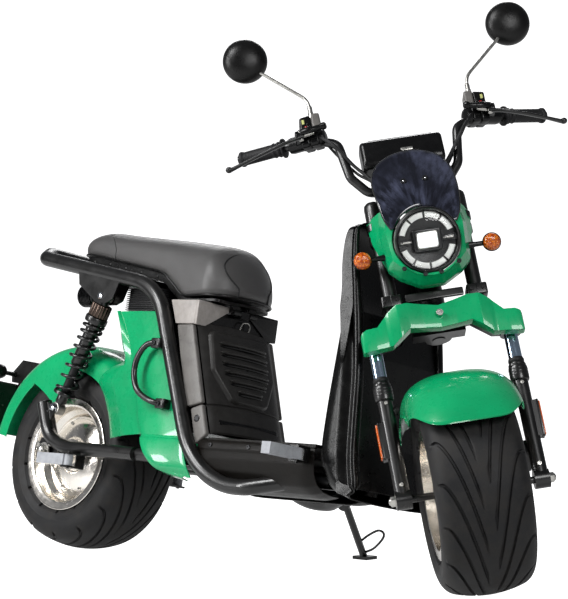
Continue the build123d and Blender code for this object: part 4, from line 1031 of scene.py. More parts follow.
def fender(radius, half, drop, start, end, skirt, lip, squareness=2.5, rows=72):
    """A mudguard over a wheel: points[angle, place on the section].

    The section is a superellipse, radius - drop + drop (1 - |y/half|^n)^(1/n), with a straight skirt
    down to skirt(angle). lip(t) moves the front edge back, in degrees, where t runs from -1 to 1
    across the fender. Angles are in degrees above the forward horizontal.
    """
    turn = np.linspace(0, math.pi / 2, 26)
    y = half * np.sin(turn) ** (2 / squareness)
    r = radius - drop + drop * np.cos(turn) ** (2 / squareness)
    share = np.linspace(0, 1, rows)[:, None]
    run = np.linspace(0, 1, 8)[1:]
    t = np.concatenate([y / half, 1 + 0.5 * run])
    first = start + lip(t)
    angle = np.radians(first[None, :] + (end - first[None, :]) * share)
    low = skirt(np.degrees(angle[:, -1]))[:, None]
    out = np.concatenate([r[None, :] + 0 * low, r[-1] + (np.minimum(low, r[-1]) - r[-1]) * run[None, :]], axis=1)
    side = np.concatenate([y, 0 * run + half])[None, :] + 0 * out
    right = np.stack([out * np.cos(angle), side, out * np.sin(angle)], axis=-1)
    whole = np.concatenate([(right * (1, -1, 1))[:, :0:-1], right], axis=1)
    return grid(whole)


def bulged_plate(outline, y, bulge, finish=0):
    """A side panel: an outline in (x, z), filled by shrinking it to its middle, bowed outwards.

    Ring s of the fill stands bulge (1 - s^4) further out than the rim at s = 1, and the rim itself
    turns in by 8 mm. y is the rim's distance from the middle plane, on the right.
    """
    rim = np.asarray(outline, float)
    middle = (rim.max(0) + rim.min(0)) / 2
    share = np.concatenate([[1.0, 1.0, 0.994], np.linspace(0.98, 0.0, 18)])
    out = bulge * (1 - share ** 4)
    out[:3] = (-0.008, -0.0015, -0.0002)
    points = middle + share[:, None, None] * (rim[None] - middle)
    depth = np.broadcast_to(-(y + out)[:, None], points.shape[:2])
    return grid(np.stack([points[..., 0], depth, points[..., 1]], axis=-1), wrap_u=True, finish=finish)


def wheel_arch(start, end, radius, low, high, flare=0.012):
    """The side panel's rolled edge over the tyre: a quarter-round flange turned about the axle.

    Row a is at radius + flare (1 - cos a), and y runs in from high to low as sin a.
    """
    angle = np.radians(np.linspace(start, end, 40))[:, None]
    a = np.linspace(0, math.pi / 2, 9)
    out = np.concatenate([radius + flare * (1 - np.sin(a)), [radius, radius]])
    y = np.concatenate([-high + flare * (1 - np.cos(a)), [-(high + low) / 2, -low]])
    points = np.stack([out * np.cos(angle), y + 0 * angle, AXLE_HEIGHT + out * np.sin(angle)], axis=-1)
    return grid(points)


def loft(lines, rows, between=1, wrap_u=False):
    """A surface through matching lines, each made smooth along its length.

    lines[k] is the k-th line's control points. Between neighbouring lines the surface is straight,
    cut into steps of 1 / between.
    """
    smooth = np.stack([curved(line, rows) for line in np.asarray(lines, float)], axis=1)
    where = np.linspace(0, smooth.shape[1] - 1, (smooth.shape[1] - 1) * between + 1)
    span = np.minimum(where.astype(int), smooth.shape[1] - 2)
    t = (where - span)[None, :, None]
    return grid(smooth[:, span] * (1 - t) + smooth[:, span + 1] * t, wrap_u=wrap_u)


def rear_skirt(angle):
    """How far in the rear fender's side reaches at an angle: a tongue to the swingarm, then a cut-back."""
    marks = [(40, 0.214), (80, 0.214), (92, 0.150), (104, 0.113), (110, 0.120), (122, 0.184), (127.5, 0.219),
             (130, 0.262), (180, 0.262)]
    marks = np.array(marks)
    return np.interp(angle, marks[:, 0], marks[:, 1])


def front_skirt(angle):
    """How far in the front fender's side reaches at an angle."""
    return 0.204 - 0.018 * smooth_step(angle, 108, 140)


# The side panel's lines from top to bottom, on the right: the edge by the tyre, the crease where it
# turns to face outwards, and the front edge behind the frame tube. Each row is (x, y, z).
PANEL_EDGE = [(0.181, 0.136, 0.590), (0.197, 0.134, 0.525), (0.206, 0.121, 0.468), (0.158, 0.117, 0.452),
              (0.119, 0.117, 0.419), (0.147, 0.117, 0.378), (0.176, 0.117, 0.322), (0.190, 0.117, 0.275)]
PANEL_CREASE = [(0.190, 0.142, 0.590), (0.233, 0.143, 0.527), (0.262, 0.144, 0.464), (0.272, 0.145, 0.442),
                (0.285, 0.146, 0.408), (0.298, 0.148, 0.374), (0.317, 0.152, 0.328), (0.342, 0.158, 0.286)]
PANEL_LOW = [(0.342, 0.158, 0.286), (0.356, 0.166, 0.264), (0.378, 0.170, 0.238), (0.410, 0.166, 0.212),
             (0.450, 0.156, 0.199), (0.500, 0.150, 0.190)]


def tube_line(z, ahead=0.0):
    """x of the frame tube's sloping run at a height."""
    return 0.319 + (0.653 - z) * (0.548 - 0.319) / (0.653 - 0.150) + ahead


def side_panel():
    """The painted side cover on the right: a flange to the tyre, a rounded crease and a bowed face."""
    edge, crease = np.array(PANEL_EDGE), np.array(PANEL_CREASE)
    front = np.column_stack([tube_line(crease[:, 2], -0.004), 0 * crease[:, 0] + 0.146, crease[:, 2]])
    flange = edge * 0.45 + crease * 0.55 + (-0.004, 0.008, 0)
    behind = crease + (-0.006, -0.003, 0)
    beside = crease + (0.006, 0.0016, 0)
    belly = (crease + front) / 2 + (0, 0.004, 0)
    upper = loft([edge, flange, behind, crease, beside, belly, front], 60, 4)
    low = np.array(PANEL_LOW)
    front = np.column_stack([tube_line(low[:, 2], -0.004), low[:, 1] * 0.5 + 0.073, low[:, 2]])
    inner = low + (-0.012, -0.030, -0.004)
    lower = loft([inner, low + (-0.005, -0.006, -0.001), low, low + (0.007, 0.001, 0.002), (low + front) / 2, front], 34, 4)
    step = lower.points[:, 2] < 0.2775
    lower.points[step, 1] += 0.0035
    return [p.carried(np.diag((1.0, -1.0, 1.0, 1.0))) for p in (upper, lower)]


def panel_vents():
    """Six short slanted ribs behind the side handle."""
    parts = []
    for step in range(6):
        x, z = 0.322 + 0.006 * step, 0.398 - 0.0125 * step
        line = np.array([(x - 0.016, -0.1475, z + 0.004), (x, -0.1495, z), (x + 0.020, -0.1500, z - 0.008)])
        parts.append(pipe(curved(line, 9), 0.0030, 8, scale=(0.1, 0.6, 0.9, 1, 1, 1, 0.9, 0.6, 0.1)))
    return parts


def side_handle():
    """The D-shaped handle: a round bar bowed backwards, with a block and a bolt at each end."""
    path = curved([(0.366, -0.150, 0.508), (0.352, -0.168, 0.509), (0.330, -0.176, 0.500), (0.309, -0.178, 0.468),
                   (0.306, -0.178, 0.430), (0.322, -0.178, 0.394), (0.352, -0.177, 0.374), (0.386, -0.172, 0.363),
                   (0.410, -0.150, 0.360)], 60)
    parts = [pipe(path, 0.0075, 16, 0)]
    for x, z in ((0.360, 0.508), (0.404, 0.361)):
        parts.append(block((x - 0.014, -0.176, z - 0.0125), (x + 0.016, -0.146, z + 0.0125), 0.003, 0))
        parts.append(screw(facing((x, -0.176, z), (0, -1, 0)), 0.0062, 0.0040, 1))
    return parts


def make_bodywork(sizes):
    """Both fenders and the two side panels."""
    rear = fender(**REAR_FENDER, skirt=rear_skirt, lip=lambda t: 0 * t, squareness=3.2, rows=120)
    build("rear_fender_shell", rear, LOOKS["green"], "chassis", REAR_WHEEL, "rear_fender", 40,
          FENDER_WALL, 0.0012)
    front = fender(**FRONT_FENDER, skirt=front_skirt,
                   lip=lambda t: 3 * t ** 2 + 22 * np.minimum(t, 1) ** 6 + 10 * np.maximum(t - 1, 0))
    build("front_fender_shell", front, LOOKS["green"], "steering", FRONT_LEVEL, "front_fender", 40,
          FENDER_WALL, 0.0012)
    right = side_panel()
    panels = right + [p.across() for p in right]
    build("side_panel_shells", panels, LOOKS["green"], "chassis", BIKE, "side_panels", 34,
          0.003, 0.001)
    bolts = [facing((0.212, -0.1195, 0.289), (0, -1, 0)), facing((0.250, -0.1440, 0.250), (0, -1, 0))]
    screws = [screw(place, 0.0075, 0.004, 1) for place in bolts[:1]]
    parts = panel_vents() + [p.across() for p in panel_vents()] + screws + [p.across() for p in screws]
    build("side_panel_trim", parts, [LOOKS["green"], LOOKS["zinc"]], "chassis", BIKE, ())
    parts = side_handle()
    build("side_handle_loops", parts + [p.across() for p in parts], [LOOKS["gloss_black"], LOOKS["bolt_black"]],
          "chassis", BIKE, "side_handles", 35)


# ---------------------------------------------------------------- column below the seat's nose
COLUMN_LOW = np.array((0.546, 0.300))     # the louvred panel's lower and upper edge, (x, z)
COLUMN_HIGH = np.array((0.448, 0.568))
COLUMN_HALF = 0.128
COLUMN_BOW = 0.015
COLUMN_EDGE = 0.005


def column_frame():
    """Local X across to the left, Y up the louvred panel's slope and Z out of it, forwards."""
    slope = unit(COLUMN_HIGH - COLUMN_LOW)
    up, out = (slope[0], 0, slope[1]), (slope[1], 0, -slope[0])
    return basis((COLUMN_LOW[0], 0, COLUMN_LOW[1]), (0, 1, 0), up, out)


def bow(y):
    """How far the louvred panel stands out at y: edge + bow (1 - (y / half)^2)."""
    return COLUMN_EDGE + COLUMN_BOW * (1 - (y / COLUMN_HALF) ** 2)


def on_bow(points, lift=0.0):
    """Flat (y, s) points laid on the bowed panel, lifted off it."""
    points = np.asarray(points, float)
    return np.concatenate([points, bow(points[..., :1]) + lift], axis=-1)


def raised_field(outline, rim, height, steps=5, finish=0, fill=10):
    """A field on the bowed panel with sloping sides: rings of the outline move in as they rise.

    Ring t lies rim * t inside the outline and height * sin(t pi / 2) above the panel. Inside the last
    ring the field is filled by shrinking it to its middle, always on the bow.
    """
    outline = np.asarray(outline, float)
    t = np.linspace(0, 1, steps)
    rings = [on_bow(inset(outline, rim * k), height * math.sin(k * math.pi / 2)) for k in t]
    last = inset(outline, rim)
    middle = last.mean(0)
    rings += [on_bow(middle + (last - middle) * s, height) for s in np.linspace(0.94, 0.02, fill)]
    return grid(np.array(rings), wrap_u=True, cap_v=False, finish=finish)


HEXAGON = [(-0.104, 0.256), (-0.109, 0.160), (-0.066, 0.086), (-0.048, 0.079), (0.048, 0.079), (0.066, 0.086),
           (0.109, 0.160), (0.106, 0.262), (0.095, 0.270), (-0.094, 0.267)]
LOUVRES = [(0.082, 0.233), (0.082, 0.209), (0.081, 0.185), (0.078, 0.161), (0.063, 0.137), (0.043, 0.112)]


def louvre(half, height, finish=0):
    """One slot: a shallow channel with rounded ends and a lip over it; the channel is a bar in darker plastic that
    paints the shade under the lip.
    """
    line = np.column_stack([np.linspace(-half, half, 29), np.full(29, height)])
    end = np.sqrt(np.clip(1 - (np.abs(line[:, 0]) / half) ** 8, 0.02, 1))
    lip = pipe(on_bow(line, 0.0105), 0.0052, 10, finish, scale=end)
    # A darker bar below the lip paints the shade in the slot.
    shade_line = pipe(on_bow(line - (0, 0.0080), 0.0075), 0.0042, 8, 1, scale=end)
    return [lip, shade_line]


def louvred_panel():
    """The bowed panel with its raised hexagon, six louvres, the seam under it and the vent strip."""
    y = np.linspace(-1, 1, 41)
    ease = 1 - np.abs(y) ** 14
    s = np.array([0.0, 0.004, 0.070, 0.0725, 0.0740, 0.0765, 0.120, 0.200, 0.270, 0.2815, 0.2850])
    dip = np.array([-0.003, 0.0, 0.0, -0.0035, -0.0035, 0.0, 0.0, 0.0, 0.0, 0.0, -0.003])
    across = y * COLUMN_HALF
    out = bow(across)[None, :] * ease[None, :] + dip[:, None]
    field = np.stack(np.broadcast_arrays(across[None, :], s[:, None], out), axis=-1)
    sheet = grid(field)
    outline = eased(HEXAGON, 0.007, 5)
    hexagon = raised_field(outline, 0.008, 0.0085)
    vents = [p for half, height in LOUVRES for p in louvre(half, height)]
    strip = raised_field(eased([(-0.104, 0.024), (0.100, 0.024), (0.100, 0.036), (-0.104, 0.036)], 0.004, 4), 0.001,
                         0.0008, 3, 1, 4)
    holes = []
    for row in range(2):
        spots = np.linspace(-0.098, 0.094, 49) + 0.002 * row
        for x in spots:
            place = basis(on_bow(np.array([[x, 0.0272 + 0.0056 * row]]), 0.0007)[0], (1, 0, 0), (0, 1, 0), (0, 0, 1))
            holes.append(turned([(0.0013, 0), (0.0013, 0.0003)], 6, 2).carried(place))
    return [sheet, hexagon, strip, *vents, *holes]


def side_trim():
    """The corner strips beside the louvred panel, with a seam and a lock, on the right: black plastic whose sheen is
    painted into a mid grey, and a corner slab in a paler grey that paints the light falling on it.
    """
    y = -0.1335
    upper = [(0.394, 0.560), (0.449, 0.562), (0.518, 0.372), (0.466, 0.360), (0.424, 0.470)]
    lower = [(0.481, 0.357), (0.5185, 0.369), (0.546, 0.297), (0.512, 0.272), (0.496, 0.312)]
    corner = [(0.360, 0.622), (0.4575, 0.622), (0.4575, 0.563), (0.386, 0.563)]
    place = basis((0, y, 0), (1, 0, 0), (0, 0, 1), (0, -1, 0))
    # The strips take the painted sheen grey; the corner slab takes the paler painted light grey.
    parts = [slab(eased(upper, 0.006, 4), -0.004, 0.0085, 0.0035, 4, 0).carried(place),
             slab(eased(lower, 0.006, 4), -0.004, 0.0085, 0.0035, 4, 0).carried(place),
             slab(eased(corner, 0.004, 4), -0.004, 0.0065, 0.0020, 3, 1).carried(place)]
    lock = facing((0.508, y - 0.0085, 0.334), (0, -1, 0))
    parts.append(turned([(0.0085, 0), (0.0085, 0.0012), (0.0070, 0.0022), (0.0060, 0.0010)], 24, 2).carried(lock))
    return parts


def recess():
    """The dark front of the tub under the seat's nose, with a moulded loop for a bag."""
    place = basis((0.4525, 0, 0.588), (0, 1, 0), (0, 0, 1), (1, 0, 0))
    sheet = slab(eased([(-0.108, -0.016), (0.108, -0.016), (0.110, 0.017), (-0.110, 0.017)], 0.004, 4), 0, 0.0012,
                 0.0005, 2, 4).carried(place)
    loop = np.array([(0.004, -0.010), (0.012, 0.004), (0.030, 0.006), (0.038, -0.002), (0.034, -0.018), (0.026, -0.024),
                     (0.012, -0.024), (0.004, -0.019)])
    path = eased(np.column_stack([loop, np.full(8, 0.012)]), 0.004, 4)
    hook = pipe(path, 0.0017, 8, 3, closed=True).carried(place)
    # The right shoulder is coloured lit, in the painted light grey, and its mirror copy on the left is coloured shaded,
    # in dark plastic: a lit and a shaded copy of one part.
    shoulder = [(-0.1405, 0.034), (-0.030, 0.034), (-0.036, 0.020), (-0.108, -0.026), (-0.1405, -0.026)]
    near = slab(eased(shoulder, 0.003, 4), -0.004, 0.0065, 0.002, 3, 1).carried(place)
    far = near.across().finished(4)
    return [sheet, hook, near, far]


def make_column():
    """The louvred panel, its side strips and the recess above it."""
    build("louvred_panel", louvred_panel(), [LOOKS["panel"], LOOKS["smooth_plastic"], LOOKS["bolt_black"]], "chassis",
          BIKE @ column_frame(), "column_front_panel", 35)
    right = side_trim()
    parts = right + [p.across() for p in right] + recess()
    looks = [LOOKS["warm_grey"], LOOKS["pale_grey"], LOOKS["bolt_black"], LOOKS["zinc"], LOOKS["smooth_plastic"]]
    build("column_trim", parts, looks, "chassis", BIKE, "column_side_covers", 35)


# ---------------------------------------------------------------- leg shield and belly
SHIELD_HALF = 0.149
SHIELD_BACK = [(1.020, 0.172), (0.955, 0.189), (0.921, 0.228), (0.903, 0.276), (0.903, 0.366), (0.908, 0.458),
               (0.915, 0.574), (0.916, 0.643), (0.907, 0.710), (0.907, 0.762), (0.916, 0.790), (0.934, 0.812)]
SHIELD_FRONT = [(1.046, 0.196), (1.044, 0.214), (1.036, 0.244), (1.029, 0.284), (1.022, 0.366), (1.014, 0.458),
                (0.994, 0.574), (0.978, 0.643), (0.962, 0.710), (0.953, 0.765), (0.950, 0.794), (0.944, 0.815)]
SHIELD_TOP_START = 0.87            # where along the shield its top begins to round over
RIM_WIDTH = 0.024
RIM_BULGE = 0.006

# The side wall's section from the inside of the rolled rim to the flat: (place in rim widths, height in
# bulges). It has the rim's narrow ridge, a groove and the start of the wide roll behind it.
RIM_SECTION = np.array([(0.45, -3.6), (0.10, -3.0), (0.0, -2.0), (0.0, -0.9), (0.06, 0.0), (0.20, 0.6), (0.40, 0.8),
                        (0.62, 0.6), (0.82, 0.0), (1.00, -0.9), (1.15, -1.25), (1.35, -1.2), (1.60, -0.5),
                        (1.90, 0.25), (2.25, 0.6)])


def leg_shield():
    """A tray open to the front: points[station up the shield, place on its section].

    Each station runs from the front line to the back line. The section goes from the rolled rim over
    the side wall, round a corner of 50 mm and to the middle of the back, which bows out by 5 mm. Near
    the top the half width falls as (1 - t^2.2)^(1/2.2), so the rim rolls over to the other side.
    """
    back, front = curved(SHIELD_BACK, 96), curved(SHIELD_FRONT, 96)
    depth = np.linalg.norm(back - front, axis=1)[:, None]
    way = (back - front) / depth
    size = np.clip((depth - 0.010) / 0.060, 0.20, 1.0)
    up = np.clip((np.linspace(0, 1, 96) - SHIELD_TOP_START) / (1 - SHIELD_TOP_START), 0, 1)[:, None]
    half = SHIELD_HALF * (1 - up ** 2.2) ** (1 / 2.2)
    rim_w = RIM_SECTION[:, 0] * RIM_WIDTH * size
    rim_y = half + RIM_SECTION[:, 1] * RIM_BULGE * size
    corner = 0.050 * size
    flat = np.linspace(0, 1, 6)[1:-1]
    start, end = rim_w[:, -1:], depth - corner
    flat_w = start + np.maximum(end - start, 0) * flat
    a = np.linspace(0, math.pi / 2, 9)
    turn_w = depth - corner + corner * np.sin(a)
    turn_y = half - corner + (corner + 0.6 * RIM_BULGE * size) * np.cos(a)
    run = np.linspace(1, 0, 9)[1:]
    back_y = (half - corner) * run
    back_w = depth + 0.005 * (1 - run ** 2)
    w = np.concatenate([rim_w, flat_w, turn_w, back_w], axis=1)
    flat_y = half + 0.6 * RIM_BULGE * size + 0 * flat_w
    y = np.maximum(np.concatenate([rim_y, flat_y, turn_y, back_y], axis=1), 0.0)
    x = front[:, :1] + way[:, :1] * w
    z = front[:, 1:] + way[:, 1:] * w
    right = np.stack([x, -y, z], axis=-1)
    whole = np.concatenate([right, (right * (1, -1, 1))[:, -2::-1]], axis=1)
    return grid(whole).flipped()


def belly_cover():
    """The right cover's section under the floor: rounded, with an upper crease."""
    section = [(0.134, 0.2895), (0.142, 0.286), (0.1490, 0.278), (0.1510, 0.264), (0.1485, 0.2595), (0.1480, 0.240),
               (0.141, 0.214), (0.126, 0.192), (0.100, 0.177), (0.070, 0.172), (0.040, 0.171)]
    return section


def belly_skin():
    """The covers' skin: the section drawn in and up at both ends by a half sine over 45 mm."""
    half = eased(np.array(belly_cover()), 0.005, 4, closed=False)
    x = np.concatenate([0.520 + 0.045 * np.linspace(0, 1, 9) ** 2, np.linspace(0.58, 0.84, 16),
                        0.900 - 0.045 * np.linspace(1, 0, 9) ** 2])
    ends = np.clip(np.minimum(x - 0.520, 0.900 - x) / 0.045, 0, 1)
    share = 0.93 + 0.07 * np.sin(ends * math.pi / 2)
    y = half[None, :, 0] * share[:, None]
    z = 0.290 - (0.290 - half[None, :, 1]) * share[:, None]
    right = np.stack([x[:, None] + 0 * y, -y, z], axis=-1)
    return grid(right)


def floor_ribs():
    """Raised strips along the floor board, in two fields with a gap between them."""
    parts = []
    for y in np.linspace(-0.118, 0.118, 13):
        for start, end in ((0.585, 0.715), (0.740, 0.878)):
            line = np.column_stack([np.linspace(start, end, 6), np.full(6, y), np.full(6, 0.2895)])
            parts.append(pipe(line, 0.0032, 8, 0, scale=(0.3, 0.9, 1, 1, 0.9, 0.3)))
    return parts


def belly_screws():
    """The screws along the belly covers' upper edges."""
    parts = []
    for x, z in ((0.575, 0.272), (0.700, 0.272), (0.830, 0.272)):
        spot = screw(facing((x, -0.1495, z), (0, -1, 0)), 0.0055, 0.0034)
        parts += [spot, spot.across()]
    return parts


def make_front_body():
    """The leg shield, the covers under the floor and the floor's ribs."""
    build("leg_shield_tray", leg_shield(), LOOKS["shield_plastic"], "chassis", BIKE, "leg_shield", 45,
          0.0035, 0.0)
    skin = belly_skin()
    build("belly_skins", [skin, skin.across()], LOOKS["floor_plastic"], "chassis", BIKE, "belly_covers",
          30, 0.0035, 0.0008)
    build("floor_ribs", floor_ribs(), LOOKS["floor_plastic"], "chassis", BIKE, ())
    build("belly_screws", belly_screws(), LOOKS["bolt_black"], "chassis", BIKE, ())


# ---------------------------------------------------------------- headlight, shroud and screen
def forwards(o, y, a):
    """A frame at a point of the steering frame: X left, Y up and Z level ahead."""
    rake = math.radians(RAKE)
    return basis((o, y, a), (0, 1, 0), (math.sin(rake), 0, math.cos(rake)), (math.cos(rake), 0, -math.sin(rake)))


FACE_ON = basis((0, 0, 0), (0, 1, 0), (0, 0, 1), (1, 0, 0))
LAMP = forwards(0.150, 0, 0.563)
LAMP_RADIUS = 0.076


def arc_block(radius_in, radius_out, start, end, low, high, finish=0, edge=0.0012):
    """A curved bar between two radii and two angles in degrees, standing on local Z."""
    angle = np.radians(np.linspace(start, end, 12))
    outer = np.column_stack([radius_out * np.cos(angle), radius_out * np.sin(angle)])
    inner = np.column_stack([radius_in * np.cos(angle[::-1]), radius_in * np.sin(angle[::-1])])
    return slab(np.concatenate([outer, inner]), low, high, edge, 3, finish)


def lamp_unit(sizes):
    """The lamp: a bowl, a bright ring, a dark face, lit segments, two side spokes and a projector."""
    bowl = [(0.030, -0.058), (0.052, -0.056), (0.066, -0.048), (0.0730, -0.034), (0.0740, -0.020), (0.0740, -0.004),
            (0.0745, 0.000), (0.0748, 0.006), (0.0740, 0.0110), (0.0712, 0.0128), (0.0684, 0.0112), (0.0672, 0.0020),
            (0.0665, -0.0060), (0.0640, -0.0100), (0.0300, -0.0140)]
    parts = [turned(bowl, 96, 0)]
    ring = [(0.0752, 0.0000), (0.0757, 0.0012), (0.0750, 0.0030), (0.0740, 0.0020)]
    parts.append(turned(eased(ring, 0.0004, 3), 96, 1, closed=True))
    half = sizes.segment_count // 2
    for side in (90, 270):
        span = 150.0 / half
        for step in range(half):
            start = side - 75 + span * step
            parts.append(arc_block(0.0505, 0.0635, start + 2.4, start + span - 2.4, -0.0100, -0.0035, 2))
            for edge in (0.0500, 0.0640):
                parts.append(arc_block(edge - 0.0007, edge + 0.0007, start + 2.4, start + span - 2.4, -0.0100, -0.0025, 0,
                                       0.0004))
    for side in (0, 180):
        parts.append(arc_block(0.0300, 0.0660, side - 7, side + 7, -0.0120, -0.0040, 0))
        parts.append(arc_block(0.0360, 0.0600, side - 2.2, side + 2.2, -0.0060, -0.0025, 1, 0.0006))
    housing = [(-0.0330, -0.0255), (0.0330, -0.0255), (0.0330, 0.0255), (-0.0330, 0.0255)]
    parts.append(slab(eased(housing, 0.009, 5), -0.0135, 0.0010, 0.003, 4, 0))
    window = [(-0.0250, -0.0190), (0.0250, -0.0190), (0.0250, 0.0190), (-0.0250, 0.0190)]
    parts.append(slab(eased(window, 0.007, 5), -0.0005, 0.0030, 0.0016, 4, 1))
    inner = [(-0.0225, -0.0165), (0.0225, -0.0165), (0.0225, 0.0165), (-0.0225, 0.0165)]
    # The projector's inner glass, whose glow is a painted highlight.
    parts.append(slab(eased(inner, 0.006, 5), 0.0026, 0.0040, 0.0010, 3, 4))
    return [p.carried(LAMP) for p in parts]


def cowl_outline(count):
    """The cowl's outline (y, a) at even steps of angle about the lamp's middle."""
    half = [(0.026, 0.474), (0.071, 0.500), (0.094, 0.524), (0.100, 0.606), (0.092, 0.668)]
    loop = np.array(half + [(-y, a) for y, a in reversed(half)])
    fine = spaced(eased(loop, 0.003, 4), 1440, True)
    middle = np.array((0.0, 0.566))
    angle = np.unwrap(np.arctan2(fine[:, 1] - middle[1], fine[:, 0] - middle[0]))
    order = np.argsort(angle % (2 * math.pi))
    wanted = np.linspace(0, 2 * math.pi, count, endpoint=False)
    angle = (angle % (2 * math.pi))[order]
    ends = np.concatenate([angle[-1:] - 2 * math.pi, angle, angle[:1] + 2 * math.pi])
    fine = fine[order]
    ring = np.concatenate([fine[-1:], fine, fine[:1]])
    return np.stack([np.interp(wanted, ends, ring[:, k]) for k in (0, 1)], axis=-1)


def cowl():
    """The green cowl: the outline at its back, drawn in at the front, then turned in to the lamp's ring.

    The last rings lie on the lamp's own tube, at the distance along its axis where that tube meets the
    cowl's front.
    """
    count = 120
    rim = cowl_outline(count)
    middle = np.array((0.0, 0.566))
    back, front = 0.084, 0.138
    rings = []
    wing = np.clip((rim[:, 1] - 0.530) / 0.125, 0, 1) * smooth_step(np.abs(rim[:, 0]), 0.030, 0.085)
    for share, o, spread in ((0.985, back, 1.0), (1.0, back + 0.002, 1.0), (1.0, 0.1020, 0.12), (1.0, 0.1040, 0.0),
                             (0.994, 0.1060, 0.0), (0.900, 0.1330, 0.0), (0.885, front, 0.0)):
        flat = middle + (rim - middle) * share
        flat[:, 0] += 0.0250 * np.sign(flat[:, 0]) * wing * spread
        rings.append(np.column_stack([o - 0.026 * wing * spread, flat]))
    rake = math.radians(RAKE)
    angle = np.arctan2(rim[:, 1] - middle[1], rim[:, 0] - middle[0])
    for radius, o in ((0.0790, front + 0.003), (0.0768, front + 0.001), (0.0765, front - 0.02)):
        v, y = radius * np.sin(angle), radius * np.cos(angle)
        s = (o - 0.150 - math.sin(rake) * v) / math.cos(rake)
        a = 0.563 - math.sin(rake) * s + math.cos(rake) * v
        rings.append(np.column_stack([np.full(count, o), y, a]))
    return grid(np.array(rings), wrap_u=True)


SCREEN_LINE = np.array([(0.580, 0.1425), (0.668, 0.1415), (0.720, 0.1320), (0.772, 0.1150), (0.816, 0.1020)])


def screen_point(flat, lift=0.0):
    """(y, a) places on the screen: forward by its line, its upper part bent back by 14 mm at y = 90 mm."""
    line = curved(SCREEN_LINE, 60)
    bend = 0.014 * smooth_step(flat[..., 1], 0.655, 0.745)
    o = np.interp(flat[..., 1], line[:, 0], line[:, 1]) - bend * np.abs(flat[..., 0] / 0.09) ** 2.4 + lift
    return np.stack([o, flat[..., 0], flat[..., 1]], axis=-1)


def screen_edges(count):
    """The screen's lower edge round the lamp and its upper edge, both from right to left."""
    y = np.linspace(-0.0690, 0.0690, count)
    low = np.column_stack([y, 0.5681 + 1.0855 * np.sqrt(0.0765 ** 2 - y ** 2)])
    half = [(0.0740, 0.604), (0.0850, 0.628), (0.0908, 0.662), (0.0940, 0.705), (0.0925, 0.748), (0.0765, 0.784),
            (0.0430, 0.805)]
    top = np.array([(-y, a) for y, a in half] + [(0.0, 0.812)] + half[::-1])
    return low, spaced(curved(top, 240), count)


def screen():
    """The dark screen between its two edges, and a bead along the upper one."""
    low, top = screen_edges(81)
    share = np.linspace(0, 1, 22)[:, None, None]
    flat = low[None] * (1 - share) + top[None] * share
    bead = pipe(screen_point(top, -0.0010), 0.0026, 8, 1)
    return [grid(screen_point(flat, 0.002)), bead]


def turn_signal(place, finishes=(0, 1)):
    """A round turn signal: a cup behind and a domed lens, looking along local Z."""
    cup = [(0.0070, -0.0200), (0.0130, -0.0190), (0.0175, -0.0140), (0.0200, -0.0040), (0.0215, 0.0040), (0.0215, 0.0080),
           (0.0202, 0.0095), (0.0198, 0.0060)]
    dome = [(0.0198, 0.0062), (0.0196, 0.0110), (0.0180, 0.0150), (0.0140, 0.0178), (0.0080, 0.0192), (0.0020, 0.0196)]
    return [turned(cup, 40, finishes[0]).carried(place), turned(dome, 40, finishes[1]).carried(place)]


def make_headlight(sizes):
    """The lamp, its cowl, the screen and the two front signals."""
    build("headlight_unit", lamp_unit(sizes),
          [LOOKS["gloss_black"], LOOKS["zinc"], LOOKS["segment"], LOOKS["smooth_plastic"], LOOKS["projector"]],
          "steering", STEER, "headlight", 35)
    lens_profile = [(0.0680, 0.0060), (0.0650, 0.0078), (0.0520, 0.0100), (0.0300, 0.0114), (0.0010, 0.0118)]
    cover = [turned(lens_profile, 72).carried(LAMP)]
    build("headlight_cover_lens", cover, LOOKS["clear"], "steering", STEER, "headlight_lens", 60)
    build("headlight_cowl", cowl(), LOOKS["green"], "steering", STEER, "headlight_shroud", 28,
          0.003, 0.001)
    screws = [screw(basis((0.139, y, a), (0, 1, 0), (0, 0, 1), (1, 0, 0)), 0.0055, 0.0032)
              for y, a in ((-0.062, 0.506), (0.062, 0.506), (-0.018, 0.486), (0.018, 0.486))]
    for y in (-0.0250, 0.0250):
        spot = basis(screen_point(np.array((y, 0.7230)), 0.002), (0, 1, 0), (0, 0, 1), (1, 0, 0))
        screws += [screw(spot, 0.0068, 0.0036), ball((0, 0, 0.0030), 0.0026, 16, 0.8, 1).carried(spot)]
    build("headlight_screws", screws, [LOOKS["bolt_black"], LOOKS["chrome"]], "steering", STEER, (), 35)
    build("windscreen_sheet", screen(), [LOOKS["smoked"], LOOKS["gloss_black"]], "steering", STEER, "windscreen",
          40, 0.0034, 0.0)
    parts = []
    for side in (-1, 1):
        parts += turn_signal(forwards(0.100, side * 0.148, 0.557))
        stem = np.array([(0.100, side * 0.094, 0.557), (0.100, side * 0.112, 0.557), (0.100, side * 0.130, 0.557)])
        parts.append(pipe(stem, 0.0060, 14, 0, scale=(1.35, 1.0, 1.0)))
    build("front_signal_lamps", parts, [LOOKS["smooth_plastic"], LOOKS["amber"]], "steering", STEER, "front_signals",
          35)


# ---------------------------------------------------------------- fork and crown
CROWN_HALF = [(0.0, 0.430), (0.068, 0.444), (0.095, 0.442), (0.115, 0.428), (0.143, 0.397), (0.168, 0.395),
              (0.182, 0.387), (0.182, 0.340), (0.113, 0.348), (0.070, 0.382), (0.0, 0.376)]
CROWN_DROP = 0.006
LEG_Y = 0.153


